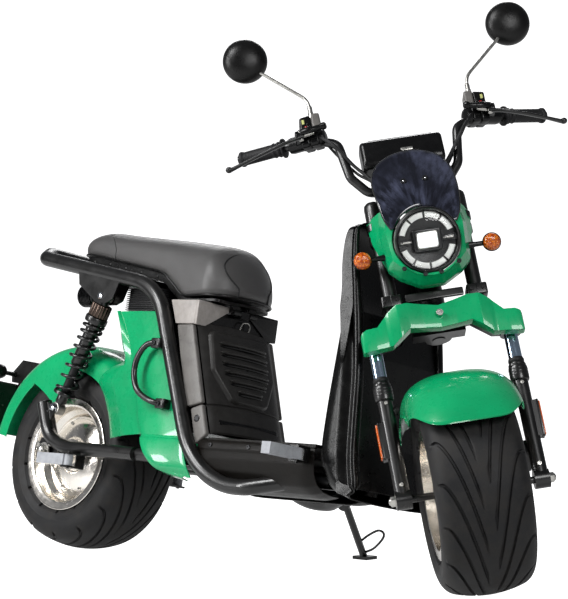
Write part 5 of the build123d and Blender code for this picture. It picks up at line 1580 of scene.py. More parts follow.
def crown_cover():
    """The green folded cover over the crown, closed sections (ahead, up) carried across it.

    Each section runs from the low to the high edge at its y, which the outline gives, and stands out by a
    fold: straight lines between the values at the folds' places, so each field between two folds is flat.
    """
    high, low = np.array(CROWN_HALF[:7]), np.array(CROWN_HALF[:6:-1])
    folds = np.array([0.0, 0.038, 0.092, 0.122, 0.150])
    steps = np.unique(np.round(np.concatenate([folds - 0.0010, folds + 0.0010, high[:-1, 0], low[:-1, 0],
                                               np.linspace(0.004, 0.176, 24), [0.1795, 0.1815, 0.1820]]), 5))
    half = steps[(steps >= 0) & (steps <= 0.182)]
    y = np.concatenate([-half[::-1], half])
    y = y[np.concatenate([[True], np.diff(y) > 1e-5])]
    out = 0.1005 + np.interp(np.abs(y), folds, [0.0000, 0.0010, 0.0085, 0.0010, 0.0030])
    draw = 0.0035 * smooth_step(np.abs(y), 0.1785, 0.1822)
    top, under = np.interp(np.abs(y), *high.T) - draw, np.interp(np.abs(y), *low.T) + draw
    out = out - draw * 2
    section = [(0.0780 + 0 * y, top), (out - 0.0010, top), (out + 0.0006, top - 0.0005), (out + 0.0010, top - 0.0020),
               (out + 0.0010, under + 0.0020),
               (out + 0.0006, under + 0.0005), (out - 0.0010, under), (0.0780 + 0 * y, under)]
    points = np.stack([np.stack([o, y, a - CROWN_DROP], axis=-1) for o, a in section], axis=1)
    return grid(points, wrap_u=True, cap_v=True)


def leg_trim(side):
    """One leg's collar, seal, reflector strip and axle nuts."""
    up = basis((FORK_OFFSET, side * LEG_Y, 0), (1, 0, 0), (0, 1, 0), (0, 0, 1))
    collar = [(0.0172, 0.230), (0.0205, 0.232), (0.0215, 0.236), (0.0215, 0.262), (0.0205, 0.266), (0.0190, 0.268),
              (0.0188, 0.272), (0.0172, 0.276), (0.0160, 0.277), (0.0156, 0.270)]
    parts = [turned(collar, 40, 0).carried(up)]
    for a in (0.242, 0.249, 0.256):
        groove = turned([(0.0214, a), (0.0220, a + 0.001), (0.0220, a + 0.0025), (0.0214, a + 0.0035)], 40, 0)
        parts.append(groove.carried(up))
    boot = [(0.0172, 0.276), (0.0182, 0.278), (0.0180, 0.282), (0.0166, 0.286), (0.0157, 0.286)]
    parts.append(turned(boot, 32, 3).carried(up))
    outer = facing((FORK_OFFSET, side * (LEG_Y + 0.0258), 0.138), (0, side, 0))
    parts.append(slab(eased([(-0.0125, -0.044), (0.0125, -0.044), (0.0125, 0.044), (-0.0125, 0.044)], 0.004, 4),
                      -0.004, 0.0016, 0.001, 3, 0).carried(outer))
    parts.append(slab(eased([(-0.0090, -0.040), (0.0090, -0.040), (0.0090, 0.040), (-0.0090, 0.040)], 0.003, 4),
                      0.0012, 0.0052, 0.0014, 4, 1).carried(outer))
    axle = facing((FORK_OFFSET, side * 0.169, 0), (0, side, 0))
    parts.append(turned([(0.0155, 0), (0.0155, 0.0016)], 28, 2).carried(axle))
    parts += dome_nut(axle @ basis((0, 0, 0.0015), (1, 0, 0), (0, 1, 0), (0, 0, 1)), 0.0115, 0.0150, 2)
    pinch = facing((FORK_OFFSET + 0.0165, side * LEG_Y, 0.030), (1, 0, 0))
    parts.append(screw(pinch, 0.0050, 0.0040, 2))
    pinch = facing((FORK_OFFSET + 0.0165, side * LEG_Y, 0.222), (1, 0, 0))
    parts.append(screw(pinch, 0.0042, 0.0034, 2))
    return parts


def upper_clamps():
    """Clamp rings and bolts round the upper tubes, the cross plate and the tubes' caps."""
    parts = []
    for side in (-1, 1):
        up = basis((FORK_OFFSET, side * 0.097, 0), (1, 0, 0), (0, 1, 0), (0, 0, 1))
        outline = eased([(0.034, 0.074), (0.084, 0.074), (0.084, 0.121), (0.034, 0.121)], 0.006, 5)
        clamp = slab(outline, 0.444, 0.471, 0.0025, 4, 0)
        slot = block((0.0825, 0.096, 0.444), (0.0855, 0.099, 0.471), 0.0006, 2)
        bolts = [screw(facing((0.084, y, 0.4575), (1, 0, 0)), 0.0042, 0.0034, 2) for y in (0.084, 0.111)]
        found = [clamp, slot, *bolts]
        parts += found if side > 0 else [p.across() for p in found]
        ring = [(0.0172, 0.606), (0.0210, 0.606), (0.0220, 0.608), (0.0220, 0.626), (0.0210, 0.628), (0.0172, 0.628)]
        parts.append(turned(ring, 36, 0, closed=True).carried(up))
        cap = [(0.0172, 0.660), (0.0205, 0.661), (0.0208, 0.666), (0.0208, 0.700), (0.0195, 0.708), (0.0150, 0.713),
               (0.0080, 0.715)]
        parts.append(turned(cap, 36, 0).carried(up))
    outline = [(-0.066, 0.449), (0.066, 0.449), (0.066, 0.468), (-0.066, 0.468)]
    parts.append(slab(eased(outline, 0.004, 4), 0.074, 0.082, 0.0015, 3, 0).carried(FACE_ON))
    parts.append(screw(basis((0.108, 0, 0.402), (0, 1, 0), (0, 0, 1), (1, 0, 0)), 0.0085, 0.0050, 1))
    return parts


def fender_braces():
    """A round boss on each leg's lug by the front fender's skirt, and its bolt."""
    parts = []
    for side in (-1, 1):
        spot = facing((FORK_OFFSET, side * 0.1285, 0.207), (0, side, 0))
        parts.append(turned([(0.0110, -0.001), (0.0110, 0.002), (0.0095, 0.0035)], 24, 0).carried(spot))
        parts.append(screw(spot, 0.0060, 0.0060, 1))
    return parts


def make_fork(sizes):
    """The crown's cover and the fork's collars, reflectors, nuts and clamps."""
    build("crown_cover_shell", crown_cover(), LOOKS["green"], "steering", STEER, "crown_cover", 30)
    looks = [LOOKS["gloss_black"], LOOKS["reflector"], LOOKS["zinc"], LOOKS["rubber"]]
    for side, name in ((-1, "right"), (1, "left")):
        build(f"fork_leg_trim_{name}", leg_trim(side), looks, "steering", STEER, (), 35)
    parts = upper_clamps() + fender_braces()
    build("fork_clamp_rings", parts, [LOOKS["black"], LOOKS["zinc"], LOOKS["gloss_black"]], "steering", STEER, (),
          35)


# ---------------------------------------------------------------- handlebar and controls
BAR_LOW = np.array((-0.020, -0.196, 0.936))
BAR_END = np.array((-0.096, -0.372, 0.950))


def on_bar(y):
    """The point on the right grip's run of the bar at a distance from the middle."""
    share = (-y - BAR_LOW[1]) / (BAR_END[1] - BAR_LOW[1])
    return BAR_LOW + (BAR_END - BAR_LOW) * share


def bar_frame(y):
    """Local Z outwards along the bar at a distance from the middle, Y upwards."""
    return facing(on_bar(y), BAR_END - BAR_LOW)


def grip():
    """A grip: a flange, ribs whose height is |sin| of the place along it, and a closed end."""
    length = 0.114
    h = np.linspace(0.008, length - 0.010, 120)
    ribs = 0.0158 + 0.0007 * np.abs(np.sin(h * math.pi / 0.0040)) ** 0.6
    cuffs = 0.0030 * np.exp(-((h - 0.014) / 0.004) ** 2) + 0.0022 * np.exp(-((h - 0.026) / 0.003) ** 2)
    body = np.column_stack([ribs + cuffs, h])
    start = [(0.0115, 0.0), (0.0225, 0.0), (0.0238, 0.0015), (0.0238, 0.0045), (0.0225, 0.0060), (0.0170, 0.0072)]
    end = [(0.0180, length - 0.008), (0.0188, length - 0.005), (0.0185, length - 0.001), (0.0150, length + 0.002),
           (0.0080, length + 0.0028)]
    parts = [turned(np.concatenate([start, body, end]), 40, 0).carried(bar_frame(0.262))]
    cap = [(0.0105, length + 0.002), (0.0105, length + 0.005), (0.0085, length + 0.0065), (0.0030, length + 0.0068)]
    parts.append(turned(cap, 28, 1).carried(bar_frame(0.262)))
    return parts


def lever():
    """A brake lever: a flattened blade that swells to a ball, on a rounded perch with a pivot bolt."""
    path = curved([(0.016, -0.222, 0.930), (0.020, -0.256, 0.921), (0.010, -0.300, 0.912), (-0.014, -0.352, 0.905),
                   (-0.042, -0.398, 0.901)], 44)
    section = circle(1.0, 16) * (0.0062, 0.0038)
    scale = np.concatenate([np.linspace(1.25, 1.0, 10), np.linspace(1.0, 0.95, 24), np.linspace(0.95, 1.15, 10)])
    parts = [swept(path, section, 0, scale=scale, side=(1, -0.3, 0))]
    parts.append(ball((-0.042, -0.402, 0.902), 0.0088, 20, 0.85, 0))
    perch = slab(eased([(-0.034, -0.010), (0.022, -0.012), (0.026, 0.000), (0.020, 0.012), (-0.034, 0.014)], 0.006, 5),
                 -0.008, 0.008, 0.003, 4, 1)
    parts.append(perch.carried(basis((-0.005, -0.2305, 0.938), (1, 0, 0), (0, 0, 1), (0, -1, 0))))
    pivot = turned([(0.0058, -0.013), (0.0064, -0.012), (0.0064, 0.011), (0.0050, 0.013)], 20, 2)
    parts.append(pivot.carried(basis((0.013, -0.226, 0.937), (1, 0, 0), (0, 1, 0), (0, 0, 1))))
    sleeve = turned([(0.0070, 0), (0.0074, 0.004), (0.0062, 0.016), (0.0048, 0.024), (0.0030, 0.027)], 20, 2)
    parts.append(sleeve.carried(facing((0.012, -0.219, 0.938), (0.35, 1, -0.05))))
    body = [(0.0085, 0.0), (0.0100, 0.002), (0.0100, 0.030), (0.0075, 0.034), (0.0066, 0.052), (0.0090, 0.054),
            (0.0090, 0.062), (0.0060, 0.065)]
    parts.append(turned(body, 24, 1).carried(facing((0.012, -0.226, 0.942), (0.30, 1, 0.06))))
    return parts


def switch_box():
    """The clamped switch block: a ring round the bar and two rounded housings on it, with their buttons."""
    frame = facing(on_bar(0.197), BAR_END - BAR_LOW)
    ring = eased([(-0.022, -0.021), (0.018, -0.021), (0.023, -0.008), (0.023, 0.016), (-0.022, 0.016)], 0.008, 5)
    parts = [slab(ring, -0.0225, -0.0008, 0.004, 5, 0).carried(frame), slab(ring, 0.0008, 0.0225, 0.004, 5, 0).carried(frame)]
    throttle = [(0.0130, -0.034), (0.0185, -0.032), (0.0212, -0.027), (0.0212, 0.022), (0.0198, 0.026),
                (0.0200, 0.050), (0.0180, 0.058), (0.0130, 0.060)]
    parts.append(turned(throttle, 40, 0).carried(frame))
    # Local X across the machine, Y up and Z ahead, for the housings above the bar.
    upright = basis((-0.017, -0.197, 0.972), (0, 1, 0), (0, 0, 1), (1, 0, 0))
    outer = eased([(-0.025, -0.024), (0.002, -0.022), (0.002, 0.021), (-0.025, 0.016)], 0.005, 5)
    inner = eased([(0.003, -0.016), (0.025, -0.014), (0.024, 0.023), (0.003, 0.023)], 0.006, 5)
    parts += [slab(outer, -0.024, 0.020, 0.004, 5, 0).carried(upright), slab(inner, -0.022, 0.024, 0.005, 5, 1).carried(upright)]
    for x, y, tint in ((-0.017, 0.003, 3), (-0.006, -0.006, 0), (-0.012, -0.014, 2)):
        spot = upright @ basis((x, y, 0.0195), (1, 0, 0), (0, 1, 0), (0, 0, 1))
        outline = eased([(-0.0030, -0.0058), (0.0030, -0.0058), (0.0030, 0.0058), (-0.0030, 0.0058)], 0.001, 3)
        parts.append(slab(outline, 0, 0.0024, 0.0008, 3, tint).carried(spot))
    return parts


MIRROR_TILT = RAKE - 6


def mirror():
    """A round mirror: a domed back that looks ahead, a rim, a silvered face and a bent rod."""
    tilt = math.radians(MIRROR_TILT)
    ahead = np.array((math.cos(tilt), 0, -math.sin(tilt)))
    head = basis((-0.029, -0.321, 1.178), (0, 1, 0), np.cross(ahead, (0, 1, 0)), ahead)
    dome = [(0.0485, -0.0105), (0.0525, -0.0110), (0.0540, -0.0090), (0.0538, -0.0040), (0.0521, 0.0020),
            (0.0488, 0.0080), (0.0436, 0.0135), (0.0356, 0.0185), (0.0254, 0.0222), (0.0132, 0.0243), (0.0010, 0.0248)]
    parts = [turned(dome, 72, 0).carried(head)]
    parts.append(turned([(0.0478, -0.0100), (0.0470, -0.0096), (0.0010, -0.0092)], 64, 1).flipped().carried(head))
    rod = np.array([(-0.020, -0.190, 0.992), (-0.020, -0.191, 1.044), (-0.034, -0.300, 1.152), (-0.030, -0.309, 1.161)])
    parts.append(pipe(spaced(eased(rod, (0, 0.020, 0.004, 0), 8, closed=False), 60), 0.0040, 14, 2))
    foot = [(0.0080, 0), (0.0080, 0.006), (0.0070, 0.007), (0.0070, 0.014), (0.0056, 0.018), (0.0058, 0.030),
            (0.0044, 0.034)]
    parts.append(turned(foot, 12, 2).carried(basis((-0.020, -0.190, 0.993), (1, 0, 0), (0, 1, 0), (0, 0, 1))))
    parts.append(ball(rod[-1], 0.0098, 24, 1.0, 3))
    return parts


def dash():
    """The display's case: a rounded wedge with a dark window towards the rider and a bright key lock."""
    outline = [(-0.024, 0.812), (0.040, 0.812), (0.046, 0.826), (0.040, 0.880), (0.028, 0.888), (-0.014, 0.889),
               (-0.026, 0.884)]
    side = basis((0, 0.097, 0), (1, 0, 0), (0, 0, 1), (0, -1, 0))
    parts = [slab(spaced(eased(outline, 0.009, 6), 90, True), 0, 0.194, 0.010, 6, 0).carried(side)]
    window = slab(eased([(-0.078, -0.020), (0.078, -0.020), (0.078, 0.020), (-0.078, 0.020)], 0.008, 5), 0, 0.0016, 0.0008,
                  3, 1)
    parts.append(window.carried(basis((0.006, 0, 0.8885), (0, -1, 0), (1, 0, 0), (0, 0, 1))))
    for y in (-0.036, 0.036):
        up = basis((0, y, 0.776), (1, 0, 0), (0, 1, 0), (0, 0, 1))
        parts.append(turned([(0.0090, 0), (0.0090, 0.008), (0.0070, 0.010), (0.0070, 0.040)], 20, 2).carried(up))
    key = basis((0.042, 0.010, 0.848), (0, 1, 0), (0, 0, 1), (1, 0, 0))
    parts.append(slab(eased([(-0.014, -0.004), (0.014, -0.004), (0.014, 0.004), (-0.014, 0.004)], 0.003, 4), -0.002, 0.0035,
                      0.001, 3, 3).carried(key))
    return parts


def control_cables():
    """Cables from the levers and switches down to the steering head, and two to the lamp."""
    runs = [
        [(0.006, -0.182, 0.930), (0.022, -0.152, 0.892), (0.012, -0.118, 0.842), (0.022, -0.085, 0.792),
         (0.045, -0.055, 0.720), (0.060, -0.038, 0.640)],
        [(0.006, 0.182, 0.930), (0.024, 0.152, 0.890), (0.014, 0.116, 0.838), (0.024, 0.084, 0.788),
         (0.046, 0.056, 0.716), (0.060, 0.040, 0.640)],
        [(-0.010, -0.172, 0.926), (-0.020, -0.144, 0.884), (-0.006, -0.110, 0.826), (0.026, -0.078, 0.776),
         (0.050, -0.060, 0.700), (0.066, -0.055, 0.640)],
        [(-0.010, 0.172, 0.926), (-0.020, 0.142, 0.880), (-0.004, 0.108, 0.822), (0.028, 0.078, 0.772),
         (0.050, 0.062, 0.700), (0.066, 0.056, 0.640)],
    ]
    radii = (0.0040, 0.0040, 0.0034, 0.0034)
    return [pipe(curved(run, 56), radius, 10, 0) for run, radius in zip(runs, radii)]


def make_controls(sizes):
    """Grips, levers, switch boxes, mirrors, the display and its cables."""
    def both(parts):
        return parts + [p.across() for p in parts]

    build("grip_sleeves", both(grip()), [LOOKS["rubber"], LOOKS["bolt_black"]], "steering", STEER, "grips",
          50)
    build("brake_lever_blades", both(lever()), [LOOKS["gloss_black"], LOOKS["smooth_plastic"], LOOKS["zinc"]], "steering",
          STEER, "brake_levers", 40)
    # The switch box's inner housing takes the grey that paints sheen on black plastic.
    build("switch_box_shells", both(switch_box()), [LOOKS["smooth_plastic"], LOOKS["warm_grey"], LOOKS["red"], LOOKS["key"]],
          "steering", STEER, "switch_boxes", 35)
    looks = [LOOKS["plastic"], LOOKS["mirror"], LOOKS["zinc"], LOOKS["smooth_plastic"]]
    build("mirror_heads", both(mirror()), looks, "steering", STEER, "mirrors", 40)
    build("dash_case", dash(), [LOOKS["smooth_plastic"], LOOKS["display"], LOOKS["gloss_black"], LOOKS["zinc"]],
          "steering", STEER, "dash", 40)
    build("control_cables", control_cables(), LOOKS["rubber"], "steering", STEER, ())


# ---------------------------------------------------------------- shocks, swingarm and tail
SHOCK_TOP = np.array((0.127, -0.145, 0.626))
SHOCK_LOW = np.array((0.006, -0.145, 0.338))
SPRING_START = 0.070
SPRING_END = 0.266
SPRING_RADIUS = 0.0248


ARM_LINE = np.array([(0.330, -0.160, 0.2361), (0.070, -0.160, 0.240), (0.006, -0.160, 0.262), (-0.034, -0.160, 0.348)])


def knurled(radius, low, high, ridges=22, depth=0.0012, finish=0):
    """A short barrel with upright ridges: its radius goes in by depth |cos| of the ridge's angle."""
    angle = np.linspace(0, 2 * math.pi, ridges * 6, endpoint=False)
    heights = np.array([low, low + 0.0015, low + 0.003, high - 0.003, high - 0.0015, high])
    swell = np.array([0.72, 0.95, 1.0, 1.0, 0.95, 0.72])
    round_radius = radius - depth * np.abs(np.cos(angle * ridges / 2)) ** 0.7
    out = round_radius[None, :] * swell[:, None]
    points = np.stack([out * np.cos(angle), out * np.sin(angle), heights[:, None] + 0 * out], axis=-1)
    return grid(points, wrap_u=True, cap_v=True, finish=finish)


def spring(sizes):
    """The coil: angle runs over all turns while the height rises as t^1.45, so its top coils lie close."""
    t = np.linspace(0, 1, sizes.spring_turns * 26)
    angle = 2 * math.pi * sizes.spring_turns * t
    height = SPRING_START + 0.004 + (SPRING_END - SPRING_START - 0.008) * (0.18 * t + 0.82 * t ** 1.45)
    path = np.column_stack([SPRING_RADIUS * np.cos(angle), SPRING_RADIUS * np.sin(angle), height])
    return swept(path, circle(sizes.spring_wire / 2, 10), 0, side=(0, 0, 1))


def eye(at, radius=0.0155, half=0.0135):
    """A shock's eye: a ring across the machine with a bushing through it."""
    place = basis((0, 0, at), (0, 0, 1), (1, 0, 0), (0, 1, 0))
    ring = [(radius - 0.004, -half), (radius, -half + 0.001), (radius, half - 0.001), (radius - 0.004, half)]
    return [turned(ring, 32, 4).carried(place),
            turned([(0.0105, -half - 0.002), (0.0105, half + 0.002)], 24, 2).carried(place)]


def shock(sizes):
    """The right coil-over unit, from its upper eye down to its lower one."""
    place = facing(SHOCK_TOP, SHOCK_LOW - SHOCK_TOP, (0, 1, 0))
    length = float(np.linalg.norm(SHOCK_LOW - SHOCK_TOP))
    parts = [knurled(0.0262, 0.020, 0.056, finish=3),
             turned([(0.0140, 0.006), (0.0155, 0.024)], 24, 0),
             turned([(0.0276, 0.056), (0.0290, 0.059), (0.0290, 0.069), (0.0276, 0.0720), (0.0140, 0.0728)], 40, 0),
             turned([(0.0170, 0.068), (0.0170, 0.186), (0.0158, 0.190), (0.0120, 0.191)], 32, 0),
             turned([(0.0112, 0.188), (0.0112, 0.272)], 24, 2),
             turned([(0.0140, 0.2620), (0.0276, 0.2645), (0.0288, 0.2670), (0.0284, 0.2725), (0.0150, 0.2750)], 40, 0),
             turned([(0.0128, 0.272), (0.0142, 0.276), (0.0142, 0.292), (0.0120, 0.300)], 28, 0),
             spring(sizes)]
    eyes = [p for at in (0.0, length) for p in eye(at)]
    # The eyes lie across the machine, whatever way the unit leans.
    return [p.carried(place) for p in parts + eyes]


def shock_bolts():
    """Washers and nuts at the eyes' outer ends."""
    parts = []
    for x, z in ((SHOCK_TOP[0], SHOCK_TOP[2]), (SHOCK_LOW[0], SHOCK_LOW[2])):
        spot = facing((x, -0.1600, z), (0, -1, 0))
        parts.append(turned([(0.0130, 0), (0.0130, 0.0016)], 28, 1).carried(spot))
        parts += dome_nut(spot @ basis((0, 0, 0.0015), (1, 0, 0), (0, 1, 0), (0, 0, 1)), 0.0095, 0.0085, 1)
    return parts


def tail_lamp():
    """A barrel with eight cooling ribs, a red lens at the back and an arm to the cross tube."""
    length = np.linspace(0.002, 0.040, 100)
    ribs = 0.0262 + 0.0034 * (np.cos(length * 2 * math.pi / 0.0052) > -0.1)
    profile = np.concatenate([[(0.0180, -0.0040), (0.0240, -0.0020)], np.column_stack([ribs, length]),
                              [(0.0298, 0.0420), (0.0298, 0.0480), (0.0280, 0.0495), (0.0272, 0.0470)]])
    back = basis((-0.069, 0, 0.655), (0, 1, 0), (0, 0, 1), (1, 0, 0)) @ np.diag((1.0, -1.0, -1.0, 1.0))
    parts = [turned(profile, 48, 0).carried(back)]
    lens_profile = [(0.0272, 0.0470), (0.0268, 0.0495), (0.0220, 0.0515), (0.0120, 0.0528), (0.0010, 0.0530)]
    parts.append(turned(lens_profile, 48, 1).carried(back))
    parts.append(block((-0.086, -0.014, 0.6745), (0.205, 0.014, 0.6835), 0.002, 2))
    for x in (-0.070, 0.180):
        parts.append(screw(basis((x, 0, 0.6835), (1, 0, 0), (0, 1, 0), (0, 0, 1)), 0.0060, 0.004, 3))
    return parts


def controller():
    """The motor controller: a core with twelve level fins round it and two straps."""
    parts = [block((0.184, -0.119, 0.5965), (0.295, 0.119, 0.6520), 0.002, 0)]
    for step in range(12):
        z = 0.5970 + 0.0049 * step
        parts.append(block((0.1790, -0.1240, z), (0.3005, 0.1240, z + 0.0020), 0.0008, 0))
    for y in (-0.060, 0.060):
        parts.append(pipe([(0.226, y, 0.646), (0.216, y, 0.658), (0.205, y, 0.672)], 0.0068, 12, 0))
    return parts


def swingarm_trim():
    """The axle nuts, the lugs' bolts and a sleeve over each arm's tube, with the tube's own bends."""
    parts = []
    for x, z, radius in ((0.0, 0.230, 0.0125), (0.024, 0.247, 0.0080), (-0.022, 0.243, 0.0080)):
        spot = facing((x, -0.1660, z), (0, -1, 0))
        if x == 0.0:
            parts.append(turned([(0.0190, -0.002), (0.0190, 0.0020)], 32, 0).carried(spot))
            parts += dome_nut(spot @ basis((0, 0, 0.002), (1, 0, 0), (0, 1, 0), (0, 0, 1)), radius, 0.0150, 0)
        else:
            parts.append(screw(spot, radius, 0.0045, 0))
    bend = eased(ARM_LINE, (0, 0.060, 0.045, 0), 10, closed=False)
    parts.append(pipe(spaced(bend, 60), 0.0172, 20, 1))
    return parts + [p.across() for p in parts]


def board_trim():
    """Bolts in the board's two holes and a rolled edge round the board."""
    tilt = math.radians(12)
    up, out = (math.sin(tilt), 0, math.cos(tilt)), (-math.cos(tilt), 0, math.sin(tilt))
    place = basis((-0.318, 0, 0.350), (0, -1, 0), up, out)
    edge = eased([(-0.0985, -0.0585), (0.0985, -0.0585), (0.0985, 0.0585), (-0.0985, 0.0585)], 0.008, 5)
    ring = pipe(np.column_stack([edge, 0 * edge[:, 0]]), 0.0024, 8, 0, closed=True).carried(place)
    spots = [place @ basis((y, 0, 0.0015), (1, 0, 0), (0, 1, 0), (0, 0, 1)) for y in (-0.060, 0.060)]
    return [ring] + [screw(spot, 0.0065, 0.0040, 1) for spot in spots]


def make_rear(sizes):
    """The coil-over units, the tail lamp, the controller, the rear signals and the swingarm's bolts."""
    right = shock(sizes) + shock_bolts()
    looks = [LOOKS["gloss_black"], LOOKS["chrome"], LOOKS["rubber"], LOOKS["brown"], LOOKS["cast"]]
    build("shock_units", right + [p.across() for p in right], looks, "chassis", BIKE, "rear_shocks", 40)
    build("tail_lamp_barrel", tail_lamp(), [LOOKS["smooth_plastic"], LOOKS["red"], LOOKS["black"], LOOKS["zinc"]],
          "chassis", BIKE, "tail_lamp", 35)
    build("controller_case", controller(), [LOOKS["fins"]], "chassis", BIKE, "controller", 35)
    parts = []
    for side in (-1, 1):
        place = basis((-0.324, side * 0.084, 0.436), (0, -1, 0), (0, 0, 1), (-1, 0, 0))
        parts += turn_signal(place)
        stem = np.array([(-0.322, side * 0.026, 0.436), (-0.322, side * 0.045, 0.436), (-0.323, side * 0.070, 0.436)])
        parts.append(pipe(stem, 0.0060, 14, 0, scale=(1.3, 1.0, 1.0)))
    build("rear_signal_lamps", parts, [LOOKS["smooth_plastic"], LOOKS["amber"]], "chassis", BIKE, "rear_signals",
          35)
    build("swingarm_bolts", swingarm_trim(), [LOOKS["zinc"], LOOKS["black"]], "chassis", BIKE, (), 35)
    build("board_edge", board_trim(), [LOOKS["black"], LOOKS["zinc"]], "chassis", BIKE, (), 35)


# ---------------------------------------------------------------- pegs, handles, stand and bolts
def frame_bolts():
    """Domed bolts on the frame's brackets, under the rail and at the tub's lugs."""
    spots = [(0.150, -0.1585, 0.655), (0.185, -0.1585, 0.662), (0.222, -0.1585, 0.668)]
    parts = [screw(facing(spot, (0, -1, 0)), 0.0065, 0.0042) for spot in spots]
    return parts + [p.across() for p in parts]


def stand_tang():
    """The wire loop that a foot pushes to swing the stand out, joined to its leg."""
    loop = [(0.690, 0.293, 0.104), (0.712, 0.294, 0.120), (0.738, 0.296, 0.133), (0.755, 0.297, 0.129),
            (0.754, 0.299, 0.115), (0.716, 0.314, 0.090), (0.674, 0.328, 0.078)]
    return pipe(curved(loop, 50), 0.0030, 10)


def make_fittings(sizes):
    """Bolts on the frame and the stand's wire loop."""
    build("stand_loop", stand_tang(), LOOKS["black"], "side_stand", BIKE, (), 35)
    build("frame_bolts", frame_bolts(), LOOKS["bolt_black"], "chassis", BIKE, (), 35)


# ---------------------------------------------------------------- stage
CAMERA_AIM = (0.1305, -0.1485, 0.6420)
CAMERA_AZIMUTH = 43.85
CAMERA_ELEVATION = 2.22
CAMERA_DISTANCE = 5.5245
CAMERA_LENS = 141.4
CAMERA_SIDE = 0.0160
CAMERA_RISE = 0.1876
FLOOR_SIZE = 60.0
GLOSSY_GLOW = 0.40


def make_stage():
    """Pale floor that curves up into a backdrop: flat, then a quarter circle, then a wall."""
    reach, bend, rise = FLOOR_SIZE / 2, 3.0, 12.0
    angle = np.linspace(0, math.pi / 2, 24)
    line = np.concatenate([
        [(-reach, 0.0)],
        np.column_stack([reach + bend * np.sin(angle), bend * (1 - np.cos(angle))]),
        [(reach + bend, rise)],
    ])
    azimuth = math.radians(CAMERA_AZIMUTH)
    away = np.array([-math.sin(azimuth), math.cos(azimuth), 0])
    across = np.array([math.cos(azimuth), math.sin(azimuth), 0])
    span = np.array([-reach, reach])
    points = (line[:, None, :1] * away + span[None, :, None] * across
              + line[:, None, 1:] * np.array([0, 0, 1]))
    look = Finish("Studio_floor", (0.86, 0.86, 0.86), 0.0, 0.7)
    look.tinted(look.fitted(look.noise(0.8, 2.0), 0.3, 0.7), (0.50, 0.50, 0.50), (0.52, 0.52, 0.52))
    # The camera sees the floor paler than it lights the machine.
    path = look.node("ShaderNodeLightPath")
    seen = look.maths("MAXIMUM", path.outputs["Is Camera Ray"], path.outputs["Is Transmission Ray"])
    mirrored = look.maths("MULTIPLY", path.outputs["Is Glossy Ray"], GLOSSY_GLOW)
    glow = look.maths("ADD", look.maths("MULTIPLY", seen, 1.2), mirrored)
    look.shader.inputs["Emission Color"].default_value = (1, 1, 1, 1)
    look.link(glow, look.shader.inputs["Emission Strength"])
    mesh = bpy.data.meshes.new("Studio_floor")
    patch = grid(points)
    mesh.from_pydata(patch.points.tolist(), [], patch.quads[:, ::-1].tolist())
    mesh.materials.append(look.material)
    smooth_by_angle(mesh, 60)
    floor = bpy.data.objects.new("Studio_floor", mesh)
    bpy.context.scene.collection.objects.link(floor)


def add_lamp(name, place, aim, power, size, tint=(1, 1, 1)):
    """A soft square lamp at a place, turned to what it lights."""
    data = bpy.data.lights.new(name, "AREA")
    data.energy, data.color, data.shape = power, tint, "RECTANGLE"
    data.size, data.size_y = size
    lamp = bpy.data.objects.new(name, data)
    lamp.location = place
    lamp.rotation_euler = (Vector(aim) - Vector(place)).to_track_quat("-Z", "Y").to_euler()
    bpy.context.scene.collection.objects.link(lamp)


def make_lights():
    """A large key to the right of the machine, a weak fill ahead of it, a rim lamp and a plain sky."""
    middle = (0.0, 0.0, 0.55)
    add_lamp("Key", (-0.9, -3.6, 4.2), middle, 215, (1.8, 1.8))
    add_lamp("Fill", (4.2, -2.0, 2.6), middle, 110, (1.6, 1.6))
    add_lamp("Side", (-1.7, -3.1, 1.7), middle, 95, (0.7, 1.8))
    add_lamp("Rim", (-2.4, 2.8, 3.2), middle, 60, (2.0, 1.4))
    world = bpy.data.worlds.new("Studio_sky")
    world.use_nodes = True
    sky = world.node_tree.nodes["Background"]
    sky.inputs["Color"].default_value = (0.90, 0.93, 1.0, 1)
    sky.inputs["Strength"].default_value = 0.16
    bpy.context.scene.world = world


def make_camera():
    """Camera at the front right, a little above the hub's height."""
    azimuth, elevation = math.radians(CAMERA_AZIMUTH), math.radians(CAMERA_ELEVATION)
    out = np.array([math.sin(azimuth) * math.cos(elevation), -math.cos(azimuth) * math.cos(elevation),
                    math.sin(elevation)])
    right = unit(np.cross(-out, (0, 0, 1)))
    up = np.cross(right, -out)
    # The camera stands level with the machine's middle and looks a little higher and to the right.
    middle = np.array(CAMERA_AIM) - right * CAMERA_SIDE - up * CAMERA_RISE
    place = middle + out * CAMERA_DISTANCE
    data = bpy.data.cameras.new("Camera")
    data.lens, data.sensor_width, data.clip_end = CAMERA_LENS, 36.0, 200.0
    camera = bpy.data.objects.new("Camera", data)
    camera.location = place
    camera.rotation_euler = Vector(CAMERA_AIM - place).to_track_quat("-Z", "Y").to_euler()
    bpy.context.scene.collection.objects.link(camera)
    bpy.context.scene.camera = camera


# ---------------------------------------------------------------- operators and panel
class SCOOTER_OT_finishes(bpy.types.Operator):
    """Make the finishes and dress the frame's own pieces."""

    bl_idname = "scooter.finishes"
    bl_label = "Finishes"

    def execute(self, context):
        make_looks(context.scene.scooter_colours)
        dress_frame()
        return {"FINISHED"}


class SCOOTER_OT_wheels(bpy.types.Operator):
    """Turn the grooved tyres and the rear rim with its motor."""

    bl_idname = "scooter.wheels"
    bl_label = "Wheels"

    def execute(self, context):
        make_wheels(context.scene.scooter_sizes)
        return {"FINISHED"}


class SCOOTER_OT_seat(bpy.types.Operator):
    """Shape the cushion with its welts and stitching."""

    bl_idname = "scooter.seat"
    bl_label = "Seat"

    def execute(self, context):
        make_seat(context.scene.scooter_sizes)
        return {"FINISHED"}


